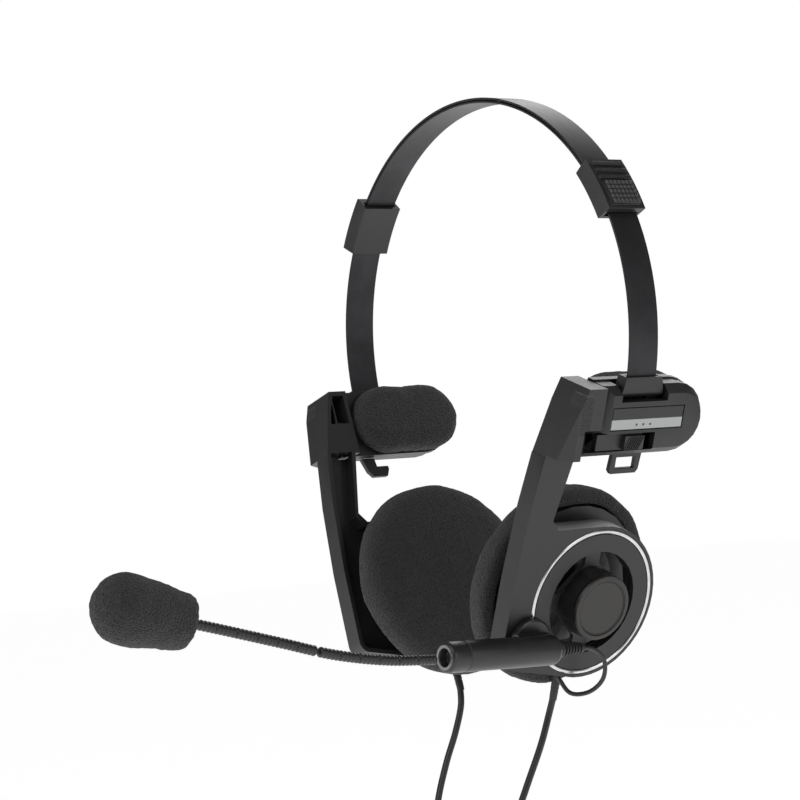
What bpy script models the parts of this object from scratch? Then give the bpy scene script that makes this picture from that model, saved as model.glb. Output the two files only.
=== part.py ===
"""Folding on-ear headset with a boom microphone.

Units are metres in Blender; every named size below is in millimetres. The origin is the
crown rest, under the top of the band. +X is the wearer's left, -Y is forward, +Z is up.
Each side of the headset is built in one tilted frame whose origin lies on the pin that
joins the band's bracket to the temple unit: local X points outward, Y back, Z up.
"""
import math

import bmesh
import bpy
from mathutils import Vector

MM = 0.001
GAP = 0.3  # clearance between pieces that touch

# Band: two sprung steel strips that overlap over the crown
BAND_R = 66.0
BAND_T = 0.6
BAND_W = 10.0
BAND_END = 104.6  # degrees from the top, where a strip ends inside its bracket
INNER_R = BAND_R - BAND_T - GAP
CROWN_R = INNER_R - BAND_T

# Slider clamps on the band
CLAMP_ANGLE = 57.9
CLAMP_LENGTH = 16.0
CLAMP_W = 12.8
CLAMP_UNDER = 1.5  # depth below the inner strip
CLAMP_OVER = 2.4  # depth above the outer strip
GRIP_H = 1.0

# Side frame
PIVOT_R = 65.2
PIVOT_ANGLE = 106.9
SIDE_TILT = 18.5

# Bracket at each end of the band
BRACKET_R = 1.9
BRACKET_TOP = 3.9
BRACKET_HALF = (7.4, 6.2)  # half width at the bottom and at the top
PIN_R = 0.9
PIN_HALF = 9.8
NOTCH_HALF = 8.0

# Temple unit
FACE_X = 3.4
SHELL_BACK = -3.2
TEMPLE_MID_Z = -8.0
TEMPLE_H = 19.2
TEMPLE_REAR = 23.0
TEMPLE_FRONT = -13.0
LOBE_FRONT = -18.6  # the lower front lobe that carries the slider
LOBE_TOP = -10.4
WALL = 1.4
CHAMFER = 2.6
BASE_T = 2.4
BASE_RIM = 0.5  # how far the base shows round the cover
PAD_T = 8.0
PAD_EDGE = 2.4
LABEL_Y = (-10.6, 14.6)
LABEL_Z = (-10.2, -3.8)
LABEL_DEPTH = 0.6
SLOT_Y = (-17.6, 5.4)
SLOT_Z = (-16.0, -11.0)
KNOB_Y = (-5.2, 1.4)
SLIDER_TRAVEL = 3.4
SCREW = (17.0, -8.4)  # (y, z) of the screw that holds base and cover together
SCREW_R = 0.8

# Arm with its ear ring
ARM_FACE = -3.1
ARM_DEPTH = 5.9
ARM_FLOOR = 1.9
ARM_WALL = 1.3
HINGE_X = SHELL_BACK - GAP - BASE_T / 2
HINGE_Y = -16.5
LUG_R = 1.6
LUG_Z = (-9.4, -7.4)
ARM_PIN_R = 0.7
ARM_GAP = 0.6
BLOCK_FRONT = -27.6
BLOCK_Z = (TEMPLE_MID_Z - TEMPLE_H / 2, TEMPLE_MID_Z + TEMPLE_H / 2)
NECK_FRONT = ((-25.4, BLOCK_Z[0]), (-27.6, -33.0), (-29.2, -53.2))  # (y, z), downward
BLOCK_SLOPE = ((-19.6, BLOCK_Z[1]), (-21.6, -4.0), NECK_FRONT[0])
NECK_REAR = (-15.2, (-19.4, -37.4))
RING_Y = -1.0
RING_Z = -61.2
RING_R = 21.8
HOLE_R = 14.6
STRIPE_R = 20.25
STRIPE_W = 0.8
CORNER = (-26.4, -75.0)
CORNER_R = 3.0

# Ear capsule
HUB_R = 9.7
HUB_BACK = -7.0
HUB_FRONT = 0.2
HUB_RIM_R = 17.0
CAP_R = 9.3
CAP_T = 1.1
BALL_X = -4.6
BALL_R = 3.4
STEM_R = 1.7
HOUSING_R = 24.0
HOUSING_BACK = -14.0
HOUSING_DEPTH = 4.4
PAD_R = 28.6
PAD_BACK = -14.4
PAD_FRONT = -24.4
GLAND_X = -12.3
GLAND_R = 1.3
CORD_R = 0.95

# Boom microphone, on the left arm
BOOM_Y = -22.0
BOOM_Z = -69.8
BOOM_TILT = -2.6
BOOM_X = 3.2
BOOM_R = 4.1
BOOM_FRONT = -32.2  # from the pivot, along the tube
BOOM_REAR = 5.0
SWIVEL_R = 6.4
NECK_R = 1.4
NECK_PIECES = 2
NECK_STEP = 0.25
NECK_CLEAR = 0.7  # room for the ends of two lengths to turn past each other
LEAD_R = 0.62
SCREEN_R = 8.9
SCREEN_L = 26.0
MIC_R = 3.4

# Cord below the headset
MAIN_R = 1.2
HANK_X = 0.0
HANK_Y = -24.0
HANK_Z = -227.0  # below the band's centre
HANK_HALF = 24.0  # half of the straight runs
LOOP_HALF = 6.0  # half width of an end loop, centreline
HANK_TURNS = 7.5
WAIST_HALF = 2.9
WAIST_LONG = 4.0
TIE_T = 0.9
TIE_HALF = 2.6
SPLIT_TOP = -166.0
SPLIT_H = 15.0
PLUG_Y = -41.0
PLUG_Z = -240.0

BLACK = ("black_plastic", (0.018, 0.018, 0.019, 1.0), 0.42, 0.0)
STEEL = ("blued_steel", (0.03, 0.03, 0.032, 1.0), 0.28, 0.85)
BRIGHT = ("bright_metal", (0.62, 0.62, 0.63, 1.0), 0.22, 1.0)
FOAM = ("black_foam", (0.012, 0.012, 0.013, 1.0), 0.95, 0.0)
GREY = ("grey_print", (0.42, 0.43, 0.43, 1.0), 0.5, 0.0)
RUBBER = ("black_rubber", (0.014, 0.014, 0.015, 1.0), 0.6, 0.0)
DARK = ("dark_hole", (0.006, 0.006, 0.007, 1.0), 0.7, 0.0)


def clear_scene():
    """Remove whatever the scene already holds."""
    for thing in list(bpy.data.objects):
        bpy.data.objects.remove(thing, do_unlink=True)


def material(spec):
    """Return the Principled material of a (name, colour, roughness, metallic) spec."""
    name, colour, roughness, metallic = spec
    found = bpy.data.materials.get(name)
    if found:
        return found
    made = bpy.data.materials.new(name)
    made.use_nodes = True
    shader = made.node_tree.nodes["Principled BSDF"]
    shader.inputs["Base Color"].default_value = colour
    shader.inputs["Roughness"].default_value = roughness
    shader.inputs["Metallic"].default_value = metallic
    return made


class Frame:
    """An empty that pieces are parented to, with the side that mirrors them."""

    def __init__(self, name, place, turn=(0.0, 0.0, 0.0), side=1, parent=None):
        self.side = side
        self.empty = bpy.data.objects.new(name, None)
        bpy.context.collection.objects.link(self.empty)
        x, y, z = place
        rx, ry, rz = (math.radians(a) for a in turn)
        self.empty.location = (side * x * MM, y * MM, z * MM)
        self.empty.rotation_euler = (rx, side * ry, side * rz)
        if parent:
            self.empty.parent = parent.empty

    def solid(self, name, bm, spec, smooth=False):
        """Turn a bmesh in millimetres into this frame's object."""
        bmesh.ops.scale(bm, vec=(self.side * MM, MM, MM), verts=bm.verts)
        bmesh.ops.recalc_face_normals(bm, faces=bm.faces)
        mesh = bpy.data.meshes.new(name)
        bm.to_mesh(mesh)
        bm.free()
        if smooth:
            mesh.shade_smooth()
            mesh.set_sharp_from_angle(angle=math.radians(35))
        thing = bpy.data.objects.new(name, mesh)
        bpy.context.collection.objects.link(thing)
        thing.parent = self.empty
        if spec:
            mesh.materials.append(material(spec))
        return thing

    def cut(self, thing, bm, operation="DIFFERENCE"):
        """Cut a piece with a hidden cutter, or join the cutter to it."""
        cutter = self.solid(thing.name + "_" + operation.lower(), bm, None)
        cutter.hide_render = True
        cutter.display_type = "WIRE"
        step = thing.modifiers.new(operation.lower(), "BOOLEAN")
        step.operation = operation
        step.object = cutter
        step.solver = "EXACT"
        return thing


def arc(centre, radius, start, end, steps):
    """Points of an arc in a plane; angles in degrees, anticlockwise from the first axis."""
    points = []
    for i in range(steps + 1):
        a = math.radians(start + (end - start) * i / steps)
        points.append((centre[0] + radius * math.cos(a), centre[1] + radius * math.sin(a)))
    return points


def prism(outline, low, high, axis="x"):
    """Extrude a flat outline along an axis: (y, z) along x, (x, z) along y."""
    bm = bmesh.new()
    spots = {"x": lambda a, b: (low, a, b), "y": lambda a, b: (a, low, b)}[axis]
    face = bm.faces.new([bm.verts.new(spots(a, b)) for a, b in outline])
    grown = bmesh.ops.extrude_face_region(bm, geom=[face])
    moved = [v for v in grown["geom"] if isinstance(v, bmesh.types.BMVert)]
    way = Vector((high - low, 0, 0)) if axis == "x" else Vector((0, high - low, 0))
    bmesh.ops.translate(bm, vec=way, verts=moved)
    return bm


def block(x, y, z):
    """A box from three (low, high) pairs."""
    return prism([(y[0], z[0]), (y[1], z[0]), (y[1], z[1]), (y[0], z[1])], x[0], x[1])


def turned(profile, steps, centre=(0.0, 0.0, 0.0), axis="x", closed=False):
    """Turn an (along, radius) profile about an axis through a point.

    An open profile starts and ends on the axis; a closed one is the section of a ring.
    """
    bm = bmesh.new()
    rings = []
    for along, radius in profile:
        ring = []
        for k in range(1 if radius == 0 else steps):
            a = 2 * math.pi * k / steps
            u, v = radius * math.cos(a), radius * math.sin(a)
            spot = {"x": (along, u, v), "y": (u, along, v), "z": (u, v, along)}[axis]
            ring.append(bm.verts.new(Vector(spot) + Vector(centre)))
        rings.append(ring)
    pairs = list(zip(rings, rings[1:] + ([rings[0]] if closed else [])))
    for one, two in pairs:
        for k in range(steps):
            corners = [one[k % len(one)], one[(k + 1) % len(one)]]
            corners += [two[(k + 1) % len(two)], two[k % len(two)]]
            bm.faces.new(list(dict.fromkeys(corners)))
    return bm


def rod(radius, low, high, centre, axis, steps=12):
    """A plain round bar."""
    return turned([(low, 0), (low, radius), (high, radius), (high, 0)], steps, centre, axis)


def sector(r0, r1, start, end, half_width, steps):
    """A strip bent round the band's centre; angles from the top, towards +X."""
    outer = [(r1 * math.sin(a), r1 * math.cos(a)) for a in spread(start, end, steps)]
    inner = [(r0 * math.sin(a), r0 * math.cos(a)) for a in spread(end, start, steps)]
    return prism(outer + inner, -half_width, half_width, "y")


def sleeve(outer, inner, start, end, steps):
    """A curved box with a slot right through it, round the band's centre.

    outer and inner are each (low radius, high radius, half width).
    """
    bm = bmesh.new()
    rows = []
    for a in spread(start, end, steps):
        row = []
        for r0, r1, half in (outer, inner):
            for r, y in ((r0, -half), (r1, -half), (r1, half), (r0, half)):
                row.append(bm.verts.new((r * math.sin(a), y, r * math.cos(a))))
        rows.append(row)
    for one, two in zip(rows, rows[1:]):
        for first in (0, 4):
            for k in range(4):
                n = first + (k + 1) % 4
                bm.faces.new((one[first + k], one[n], two[n], two[first + k]))
    for row in (rows[0], rows[-1]):
        for k in range(4):
            n = (k + 1) % 4
            bm.faces.new((row[k], row[n], row[4 + n], row[4 + k]))
    return bm


def spread(start, end, steps):
    """Angles in radians, evenly spaced."""
    return [math.radians(start + (end - start) * i / steps) for i in range(steps + 1)]


def smooth_route(points, spacing):
    """Read evenly spaced points from a centripetal curve through the route."""
    pts = [Vector(p) for p in points]
    pts = [2 * pts[0] - pts[1]] + pts + [2 * pts[-1] - pts[-2]]
    fine = []
    for p0, p1, p2, p3 in zip(pts, pts[1:], pts[2:], pts[3:]):
        t0 = 0.0
        t1 = t0 + math.sqrt((p1 - p0).length)
        t2 = t1 + math.sqrt((p2 - p1).length)
        t3 = t2 + math.sqrt((p3 - p2).length)
        for k in range(24):
            t = t1 + (t2 - t1) * k / 24
            a1 = p0.lerp(p1, (t - t0) / (t1 - t0))
            a2 = p1.lerp(p2, (t - t1) / (t2 - t1))
            a3 = p2.lerp(p3, (t - t2) / (t3 - t2))
            b1 = a1.lerp(a2, (t - t0) / (t2 - t0))
            b2 = a2.lerp(a3, (t - t1) / (t3 - t1))
            fine.append(b1.lerp(b2, (t - t1) / (t2 - t1)))
    fine.append(pts[-2])
    length = sum((b - a).length for a, b in zip(fine, fine[1:]))
    count = max(2, round(length / spacing))
    out, run, goal = [fine[0]], 0.0, length / count
    for a, b in zip(fine, fine[1:]):
        step = (b - a).length
        while step and run + step >= goal - 1e-9 and len(out) < count:
            out.append(a.lerp(b, (goal - run) / step))
            goal += length / count
        run += step
    return out + [fine[-1]]


def cord(name, route, radius, frame, spec):
    """A round cord along a route, as a curve object with filled ends."""
    curve = bpy.data.curves.new(name, "CURVE")
    curve.dimensions = "3D"
    curve.bevel_depth = radius * MM
    curve.bevel_resolution = 2
    curve.use_fill_caps = True
    line = curve.splines.new("POLY")
    spots = smooth_route(route, 5 * radius)
    line.points.add(len(spots) - 1)
    for spot, point in zip(spots, line.points):
        point.co = (frame.side * spot.x * MM, spot.y * MM, spot.z * MM, 1)
    curve.materials.append(material(spec))
    thing = bpy.data.objects.new(name, curve)
    bpy.context.collection.objects.link(thing)
    thing.parent = frame.empty


# ---------------------------------------------------------------- band


def build_band(side, frame, layer_r):
    """One sprung strip, the clamp on its far end and the bracket on its near end."""
    name = "left" if side > 0 else "right"
    strip = sector(layer_r - BAND_T, layer_r, -CLAMP_ANGLE - 3.0, BAND_END, BAND_W / 2, 40)
    frame.solid(name + "_band", strip, STEEL, smooth=True)
    half = math.degrees(CLAMP_LENGTH / 2 / BAND_R)
    low, high = CROWN_R - CLAMP_UNDER, BAND_R + CLAMP_OVER
    start, end = -CLAMP_ANGLE - half, -CLAMP_ANGLE + half
    body = (low, high, CLAMP_W / 2)
    channel = (CROWN_R - GAP, BAND_R + GAP, BAND_W / 2 + GAP)
    clamp = frame.solid(name + "_clamp", sleeve(body, channel, start, end, 6), BLACK)
    rib = half / 7
    for k in range(3):
        low_rib = end - rib * (1.2 + 2 * k)
        ridge = sector(high - 0.4, high + GRIP_H * 0.6, low_rib - rib, low_rib, CLAMP_W / 2 - 1, 1)
        frame.cut(clamp, ridge, "UNION")
    grip = sector(high - 0.4, high + GRIP_H, start + rib, start + half, CLAMP_W / 2 - 1.6, 4)
    frame.cut(clamp, grip, "UNION")


def build_bracket(name, frame, layer_r):
    """The moulded bracket on a strip's lower end, and the pin under it."""
    low, high = BRACKET_HALF
    section = [(BRACKET_R, BRACKET_TOP), (-BRACKET_R, BRACKET_TOP)]
    section += arc((0, 0), BRACKET_R, 180, 360, 10)
    bracket = frame.solid(name + "_bracket", prism(section, -low, low, "y"), BLACK)
    slope = (low - high) / (BRACKET_TOP + BRACKET_R)
    for sign in (-1, 1):
        wedge = [(sign * low, -BRACKET_R), (sign * (low + 4), -BRACKET_R)]
        wedge += [(sign * (low + 4), BRACKET_TOP + 1)]
        wedge += [(sign * (high - slope), BRACKET_TOP + 1)]
        frame.cut(bracket, prism(wedge, -4, 4))
    mid = layer_r - BAND_T / 2 - PIVOT_R
    seat = ((mid - BAND_T / 2 - 0.4, mid + BAND_T / 2 + 0.4), (-BAND_W / 2 - GAP, BAND_W / 2 + GAP))
    frame.cut(bracket, block(seat[0], seat[1], (1.5, BRACKET_TOP + 2)))
    frame.cut(bracket, rod(PIN_R + GAP, -low - 1, low + 1, (0, 0, 0), "y"))


# ---------------------------------------------------------------- temple unit


def temple_outline(inset, front_inset=None):
    """Stadium with a round rear end, a cut front and a lower front lobe, as (y, z)."""
    front_inset = inset if front_inset is None else front_inset
    half = TEMPLE_H / 2 - inset
    centre = (TEMPLE_REAR - TEMPLE_H / 2, TEMPLE_MID_Z)
    top, bottom = TEMPLE_MID_Z + half, TEMPLE_MID_Z - half
    points = arc(centre, half, -90, 90, 10)
    front, lobe = TEMPLE_FRONT + front_inset, LOBE_FRONT + front_inset
    points += [(front, top), (front, LOBE_TOP - front_inset)]
    points += [(lobe, LOBE_TOP - front_inset), (lobe, bottom)]
    return points


def stadium(inset, front, rear, mid_z, height, steps=8):
    """Stadium outline as (y, z), both ends round."""
    half = height / 2 - inset
    points = arc((rear - height / 2, mid_z), half, -90, 90, steps)
    points += arc((front + height / 2, mid_z), half, 90, 270, steps)
    return points


def lofted(lower, upper, x0, x1):
    """A solid between two outlines with the same number of points."""
    bm = bmesh.new()
    one = [bm.verts.new((x0, y, z)) for y, z in lower]
    two = [bm.verts.new((x1, y, z)) for y, z in upper]
    bm.faces.new(one)
    bm.faces.new(two)
    count = len(one)
    for k in range(count):
        n = (k + 1) % count
        bm.faces.new((one[k], one[n], two[n], two[k]))
    return bm


def build_temple(name, side, frame):
    """Cover, base, foam pad, printed plate, pin and screw of one temple unit."""
    cover = frame.solid(
        name + "_temple_cover", prism(temple_outline(0), SHELL_BACK, FACE_X - CHAMFER), BLACK
    )
    crown = lofted(temple_outline(0), temple_outline(CHAMFER * 0.8), FACE_X - CHAMFER, FACE_X)
    bmesh.ops.translate(crown, vec=(-0.01, 0, 0), verts=crown.verts)
    frame.cut(cover, crown, "UNION")
    room_top = -3.2 - GAP
    room = ((SHELL_BACK - 1, FACE_X - WALL - LABEL_DEPTH), (TEMPLE_FRONT + WALL, 12.5))
    frame.cut(cover, block(room[0], room[1], (TEMPLE_MID_Z - TEMPLE_H / 2 + WALL, room_top)))
    lobe_room = (LOBE_FRONT - 1, TEMPLE_FRONT + WALL + 1)
    frame.cut(cover, block(room[0], lobe_room, (SLOT_Z[0], SLOT_Z[1])))
    frame.cut(cover, block((FACE_X - 4, FACE_X + 1), SLOT_Y, SLOT_Z))
    frame.cut(cover, block((FACE_X - LABEL_DEPTH, FACE_X + 1), LABEL_Y, LABEL_Z))
    notch = (-NOTCH_HALF, NOTCH_HALF)
    frame.cut(cover, block((SHELL_BACK - 1, FACE_X + 1), notch, (-2.4, 4)))
    frame.cut(cover, rod(PIN_R + GAP, -PIN_HALF - GAP, PIN_HALF + GAP, (0, 0, 0), "y"))
    frame.cut(cover, rod(SCREW_R + GAP, SHELL_BACK - 1, 0.2, (0, SCREW[0], SCREW[1]), "x", 12))

    frame.solid(name + "_temple_pin", rod(PIN_R, -PIN_HALF, PIN_HALF, (0, 0, 0), "y"), BRIGHT, True)

    base_face = SHELL_BACK - GAP
    base_back = base_face - BASE_T
    base = frame.solid(
        name + "_temple_base", prism(temple_outline(-BASE_RIM, 0), base_back, base_face), BLACK
    )
    web_z = (LUG_Z[0] + 0.1, LUG_Z[1] - 0.1)
    web = block((base_back + 0.1, base_face - 0.1), (HINGE_Y + 1, TEMPLE_FRONT + 2), web_z)
    frame.cut(base, web, "UNION")
    lug_x = (HINGE_X - LUG_R, HINGE_X + LUG_R)
    frame.cut(base, block(lug_x, (HINGE_Y - LUG_R, HINGE_Y + LUG_R), LUG_Z), "UNION")
    frame.cut(base, rod(ARM_PIN_R + GAP, -12, -5, (HINGE_X, HINGE_Y, 0), "z"))
    hole = rod(SCREW_R + 0.5, base_back - 1, base_face + 1, (0, SCREW[0], SCREW[1]), "x", 12)
    frame.cut(base, hole)

    screw = rod(SCREW_R, base_back + 0.2, -0.2, (0, SCREW[0], SCREW[1]), "x", 10)
    frame.solid(name + "_temple_screw", screw, BRIGHT, smooth=True)

    pad_face = base_back - GAP
    outline = [stadium(i, -12.0, TEMPLE_REAR + 0.4, TEMPLE_MID_Z, 19.6) for i in (0, 0, PAD_EDGE)]
    pad = lofted(outline[0], outline[1], pad_face, pad_face - PAD_T + PAD_EDGE)
    thing = frame.solid(name + "_temple_pad", pad, FOAM)
    dome = lofted(outline[1], outline[2], pad_face - PAD_T + PAD_EDGE + 0.01, pad_face - PAD_T)
    frame.cut(thing, dome, "UNION")

    plate = ((FACE_X - LABEL_DEPTH + 0.1, FACE_X - 0.1),)
    spots = [(LABEL_Y[0] + GAP, LABEL_Y[1] - GAP), (LABEL_Z[0] + GAP, LABEL_Z[1] - GAP)]
    frame.solid(name + "_temple_plate", block(plate[0], spots[0], spots[1]), GREY)

    if side > 0:
        build_latch_loop(frame)
    else:
        build_latch_hook(frame)


def build_slider(name, frame):
    """The comfort slider: a flat tongue with a knurled knob at its rear end."""
    z = (SLOT_Z[0] + GAP, SLOT_Z[1] - GAP)
    tongue = block((0.2, FACE_X - 0.9), (SLOT_Y[0] + SLIDER_TRAVEL + GAP, KNOB_Y[1]), z)
    slider = frame.solid(name + "_comfort_slider", tongue, BLACK)
    knob = block((FACE_X - 1.1, FACE_X + 0.5), (KNOB_Y[0], KNOB_Y[1] - 0.01), (z[0] + 0.3, z[1] - 0.3))
    frame.cut(slider, knob, "UNION")


def build_latch_loop(frame):
    """Flat loop under the left temple unit that the other side's hook snaps into."""
    bottom = TEMPLE_MID_Z - TEMPLE_H / 2 - GAP
    outline = [(-5.4, bottom - 4.6), (-4.6, bottom - 5.6), (4.0, bottom - 5.6)]
    outline += [(4.8, bottom - 4.6), (5.2, bottom), (-5.0, bottom)]
    loop = frame.solid("left_latch_loop", prism(outline, -1.6, -0.2), BLACK)
    frame.cut(loop, block((-3, 1), (-3.4, 3.2), (bottom - 4.1, bottom - 1.0)))


def build_latch_hook(frame):
    """J-shaped hook under the right temple unit."""
    bottom = TEMPLE_MID_Z - TEMPLE_H / 2 - GAP
    outline = [(-8.6, bottom), (-4.0, bottom), (-3.6, bottom - 2.6), (0.4, bottom - 2.6)]
    outline += [(0.6, bottom - 3.6), (-0.4, bottom - 5.8), (-5.4, bottom - 5.8), (-7.0, bottom - 4.2)]
    frame.solid("right_latch_hook", prism(outline, -2.2, -0.6), BLACK)


# ---------------------------------------------------------------- arm and ear ring


def arm_outline(inset):
    """Outline of the neck and ear ring, as (y, z)."""
    rear_top, rear_low = NECK_REAR
    radius = RING_R - inset
    points = [(y + inset, z) for y, z in NECK_FRONT]
    points += arc((CORNER[0], CORNER[1]), CORNER_R + 0.4 - inset, 180, 250, 5)
    points += arc((RING_Y, RING_Z), radius, -104, 90, 24)
    points += [(rear_low[0] + 2.4 - inset, RING_Z + radius)]
    points += [(rear_low[0] - inset, rear_low[1] - inset + 0.8), (rear_top - inset, BLOCK_Z[0])]
    return points


def build_arm(name, frame):
    """The moulded arm: hinge block, channelled neck and ear ring in one piece."""
    inner = ARM_FACE - ARM_DEPTH
    arm = frame.solid(name + "_arm", prism(arm_outline(0), inner, ARM_FACE), BLACK)
    rear = TEMPLE_FRONT - ARM_GAP
    section = [(rear, inner), (rear, FACE_X), (-21.4, FACE_X)]
    section += [(BLOCK_FRONT, ARM_FACE + 2.6), (BLOCK_FRONT - 0.8, ARM_FACE), (BLOCK_FRONT - 0.8, inner)]
    cube = bmesh.new()
    face = cube.faces.new([cube.verts.new((x, y, BLOCK_Z[0] - 0.4)) for y, x in section])
    grown = bmesh.ops.extrude_face_region(cube, geom=[face])
    moved = [v for v in grown["geom"] if isinstance(v, bmesh.types.BMVert)]
    height = BLOCK_Z[1] - BLOCK_Z[0] + 0.4
    bmesh.ops.translate(cube, vec=(0, 0, height), verts=moved)
    frame.cut(arm, cube, "UNION")
    notch_top = LOBE_TOP + ARM_GAP
    notch = (LOBE_FRONT - ARM_GAP, rear + 1)
    frame.cut(arm, block((SHELL_BACK - BASE_T - 1.2, FACE_X + 1), notch, (BLOCK_Z[0] - 1, notch_top)))
    slope = [(y, z) for y, z in BLOCK_SLOPE[:-1]] + [(BLOCK_SLOPE[-1][0], BLOCK_Z[0] - 1)]
    ahead = BLOCK_FRONT - 3
    wedge = [(slope[0][0], BLOCK_Z[1] + 1)] + slope + [(ahead, BLOCK_Z[0] - 1), (ahead, BLOCK_Z[1] + 1)]
    frame.cut(arm, prism(wedge, inner - 1, FACE_X + 1))
    back, floor = rear - ARM_WALL, notch_top + 1.2
    room = [(back, floor), (back, BLOCK_Z[1] - WALL), (BLOCK_SLOPE[0][0] + 1, BLOCK_Z[1] - WALL)]
    room += [(BLOCK_SLOPE[1][0] + ARM_WALL, BLOCK_SLOPE[1][1]), (BLOCK_SLOPE[1][0] + 0.2, floor)]
    frame.cut(arm, prism(room, inner - 1, FACE_X - WALL))
    lug_room = ((HINGE_X - LUG_R - 0.4, HINGE_X + LUG_R + 0.4), (HINGE_Y - LUG_R - 0.4, rear + 1))
    frame.cut(arm, block(lug_room[0], lug_room[1], (notch_top, LUG_Z[1] + 0.4)))
    pocket = prism(arm_outline(ARM_WALL), inner - 1, ARM_FACE - ARM_FLOOR)
    frame.cut(arm, pocket)
    frame.cut(arm, rod(HOLE_R, -20, 10, (0, RING_Y, RING_Z), "x", 28))
    groove = [(ARM_FACE - 0.7, STRIPE_R - 0.7), (ARM_FACE - 0.7, STRIPE_R + 0.7)]
    groove += [(ARM_FACE + 1, STRIPE_R + 0.7), (ARM_FACE + 1, STRIPE_R - 0.7)]
    frame.cut(arm, turned(groove, 32, (0, RING_Y, RING_Z), closed=True))


def build_ear_ring(name, frame):
    """Bright trim ring, vented hub and cap, all fixed to the arm."""
    centre = (0, RING_Y, RING_Z)
    low, high = STRIPE_R - STRIPE_W / 2, STRIPE_R + STRIPE_W / 2
    section = [(ARM_FACE - 0.4, low), (ARM_FACE - 0.4, high), (ARM_FACE + 0.1, high), (ARM_FACE + 0.1, low)]
    frame.solid(name + "_trim_ring", turned(section, 32, centre, closed=True), BRIGHT, smooth=True)

    web_front = HUB_BACK + 1.4
    bore = BALL_R + 0.4
    profile = [(HUB_BACK, bore), (HUB_BACK, HUB_RIM_R), (web_front, HUB_RIM_R)]
    profile += [(web_front, HUB_R), (HUB_FRONT, HUB_R - 0.2), (HUB_FRONT, 0), (-0.8, 0), (-0.8, bore)]
    hub = frame.solid(name + "_hub", turned_cup(profile, 24, centre), BLACK, smooth=True)
    for k in range(4):
        middle = math.radians(45 + 90 * k)
        window = [
            (RING_Y + r * math.cos(middle + t), RING_Z + r * math.sin(middle + t))
            for r, t in ((10.6, -0.55), (14.2, -0.6), (14.9, -0.2), (14.9, 0.2), (14.2, 0.6), (10.6, 0.55))
        ]
        frame.cut(hub, prism(window, HUB_BACK - 1, web_front + 1))

    face = HUB_FRONT + GAP
    dome = [(face, 0), (face, CAP_R), (face + CAP_T * 0.6, CAP_R), (face + CAP_T, CAP_R - 0.6)]
    frame.solid(name + "_cap", turned(dome + [(face + CAP_T, 0)], 24, centre), BLACK, smooth=True)


def turned_cup(profile, steps, centre, axis="x"):
    """Turn a profile that starts at a bore's mouth and touches the axis at two points."""
    at = [i for i, (_, radius) in enumerate(profile) if radius == 0]
    ordered = profile[at[1] :] + profile[: at[0] + 1]
    return turned(ordered, steps, centre, axis)


def build_capsule(name, frame):
    """Driver housing, driver, grille, foam ear pad and cord gland behind one ear ring.

    The frame's origin is the ball's centre, so places along X are less the ball's.
    """
    steps = 26
    back = HOUSING_BACK - BALL_X
    inside = back - HOUSING_DEPTH
    stem = -BALL_R - GAP
    pad_front, pad_back = PAD_FRONT - BALL_X, PAD_BACK - BALL_X
    cup = [(stem, 0), (stem, STEM_R), (back + 3.4, STEM_R), (back + 3.0, 6.0), (back + 0.4, 15.0)]
    cup += [(back, HOUSING_R), (inside, HOUSING_R), (inside, HOUSING_R - 1.2)]
    cup += [(back - 1.2, HOUSING_R - 1.4), (back - 0.9, 14.6), (back + 0.8, 6.0), (back + 0.8, 0)]
    frame.solid(name + "_driver_housing", turned(cup, steps), BLACK, smooth=True)

    front = back - 1.8
    unit = [(front, 0), (front, 7.0), (front - 1.0, 7.4), (front - 1.2, 20.6), (front - 2.0, 20.6)]
    unit += [(front - 2.0, 9.0), (front - 1.7, 0)]
    frame.solid(name + "_driver", turned(unit, 20), BRIGHT, smooth=True)

    grille = [(inside - GAP, 0), (inside - GAP, 22.6), (inside - GAP - 0.7, 22.6)]
    grille += [(inside - GAP - 0.7, 0)]
    frame.solid(name + "_grille", turned(grille, 20), DARK, smooth=True)

    hollow = inside - GAP - 0.7 - GAP
    lip = HOUSING_R + GAP
    foam = [(pad_front, 0), (pad_front, PAD_R - 4.6), (pad_front + 1.6, PAD_R - 1.4)]
    foam += [(pad_front + 4.4, PAD_R), (pad_back - 1.2, PAD_R), (pad_back, PAD_R - 1.0)]
    foam += [(pad_back, lip), (hollow, lip), (hollow, 0)]
    frame.solid(name + "_ear_pad", turned(foam, steps), FOAM, smooth=True)

    at_x, start, end = GLAND_X - BALL_X, -18.4, -30.4
    profile = [(start, 0), (start, GLAND_R), (end + 6, GLAND_R), (end, CORD_R + 0.1), (end, 0)]
    gland = frame.solid(name + "_gland", turned(profile, 10, (at_x, 0, 0), "z"), RUBBER, smooth=True)
    foot = block((back + 0.34 + GAP, at_x), (-1.2, 1.2), (start - 3.2, start - 0.2))
    frame.cut(gland, foot, "UNION")


# ---------------------------------------------------------------- boom microphone


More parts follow.
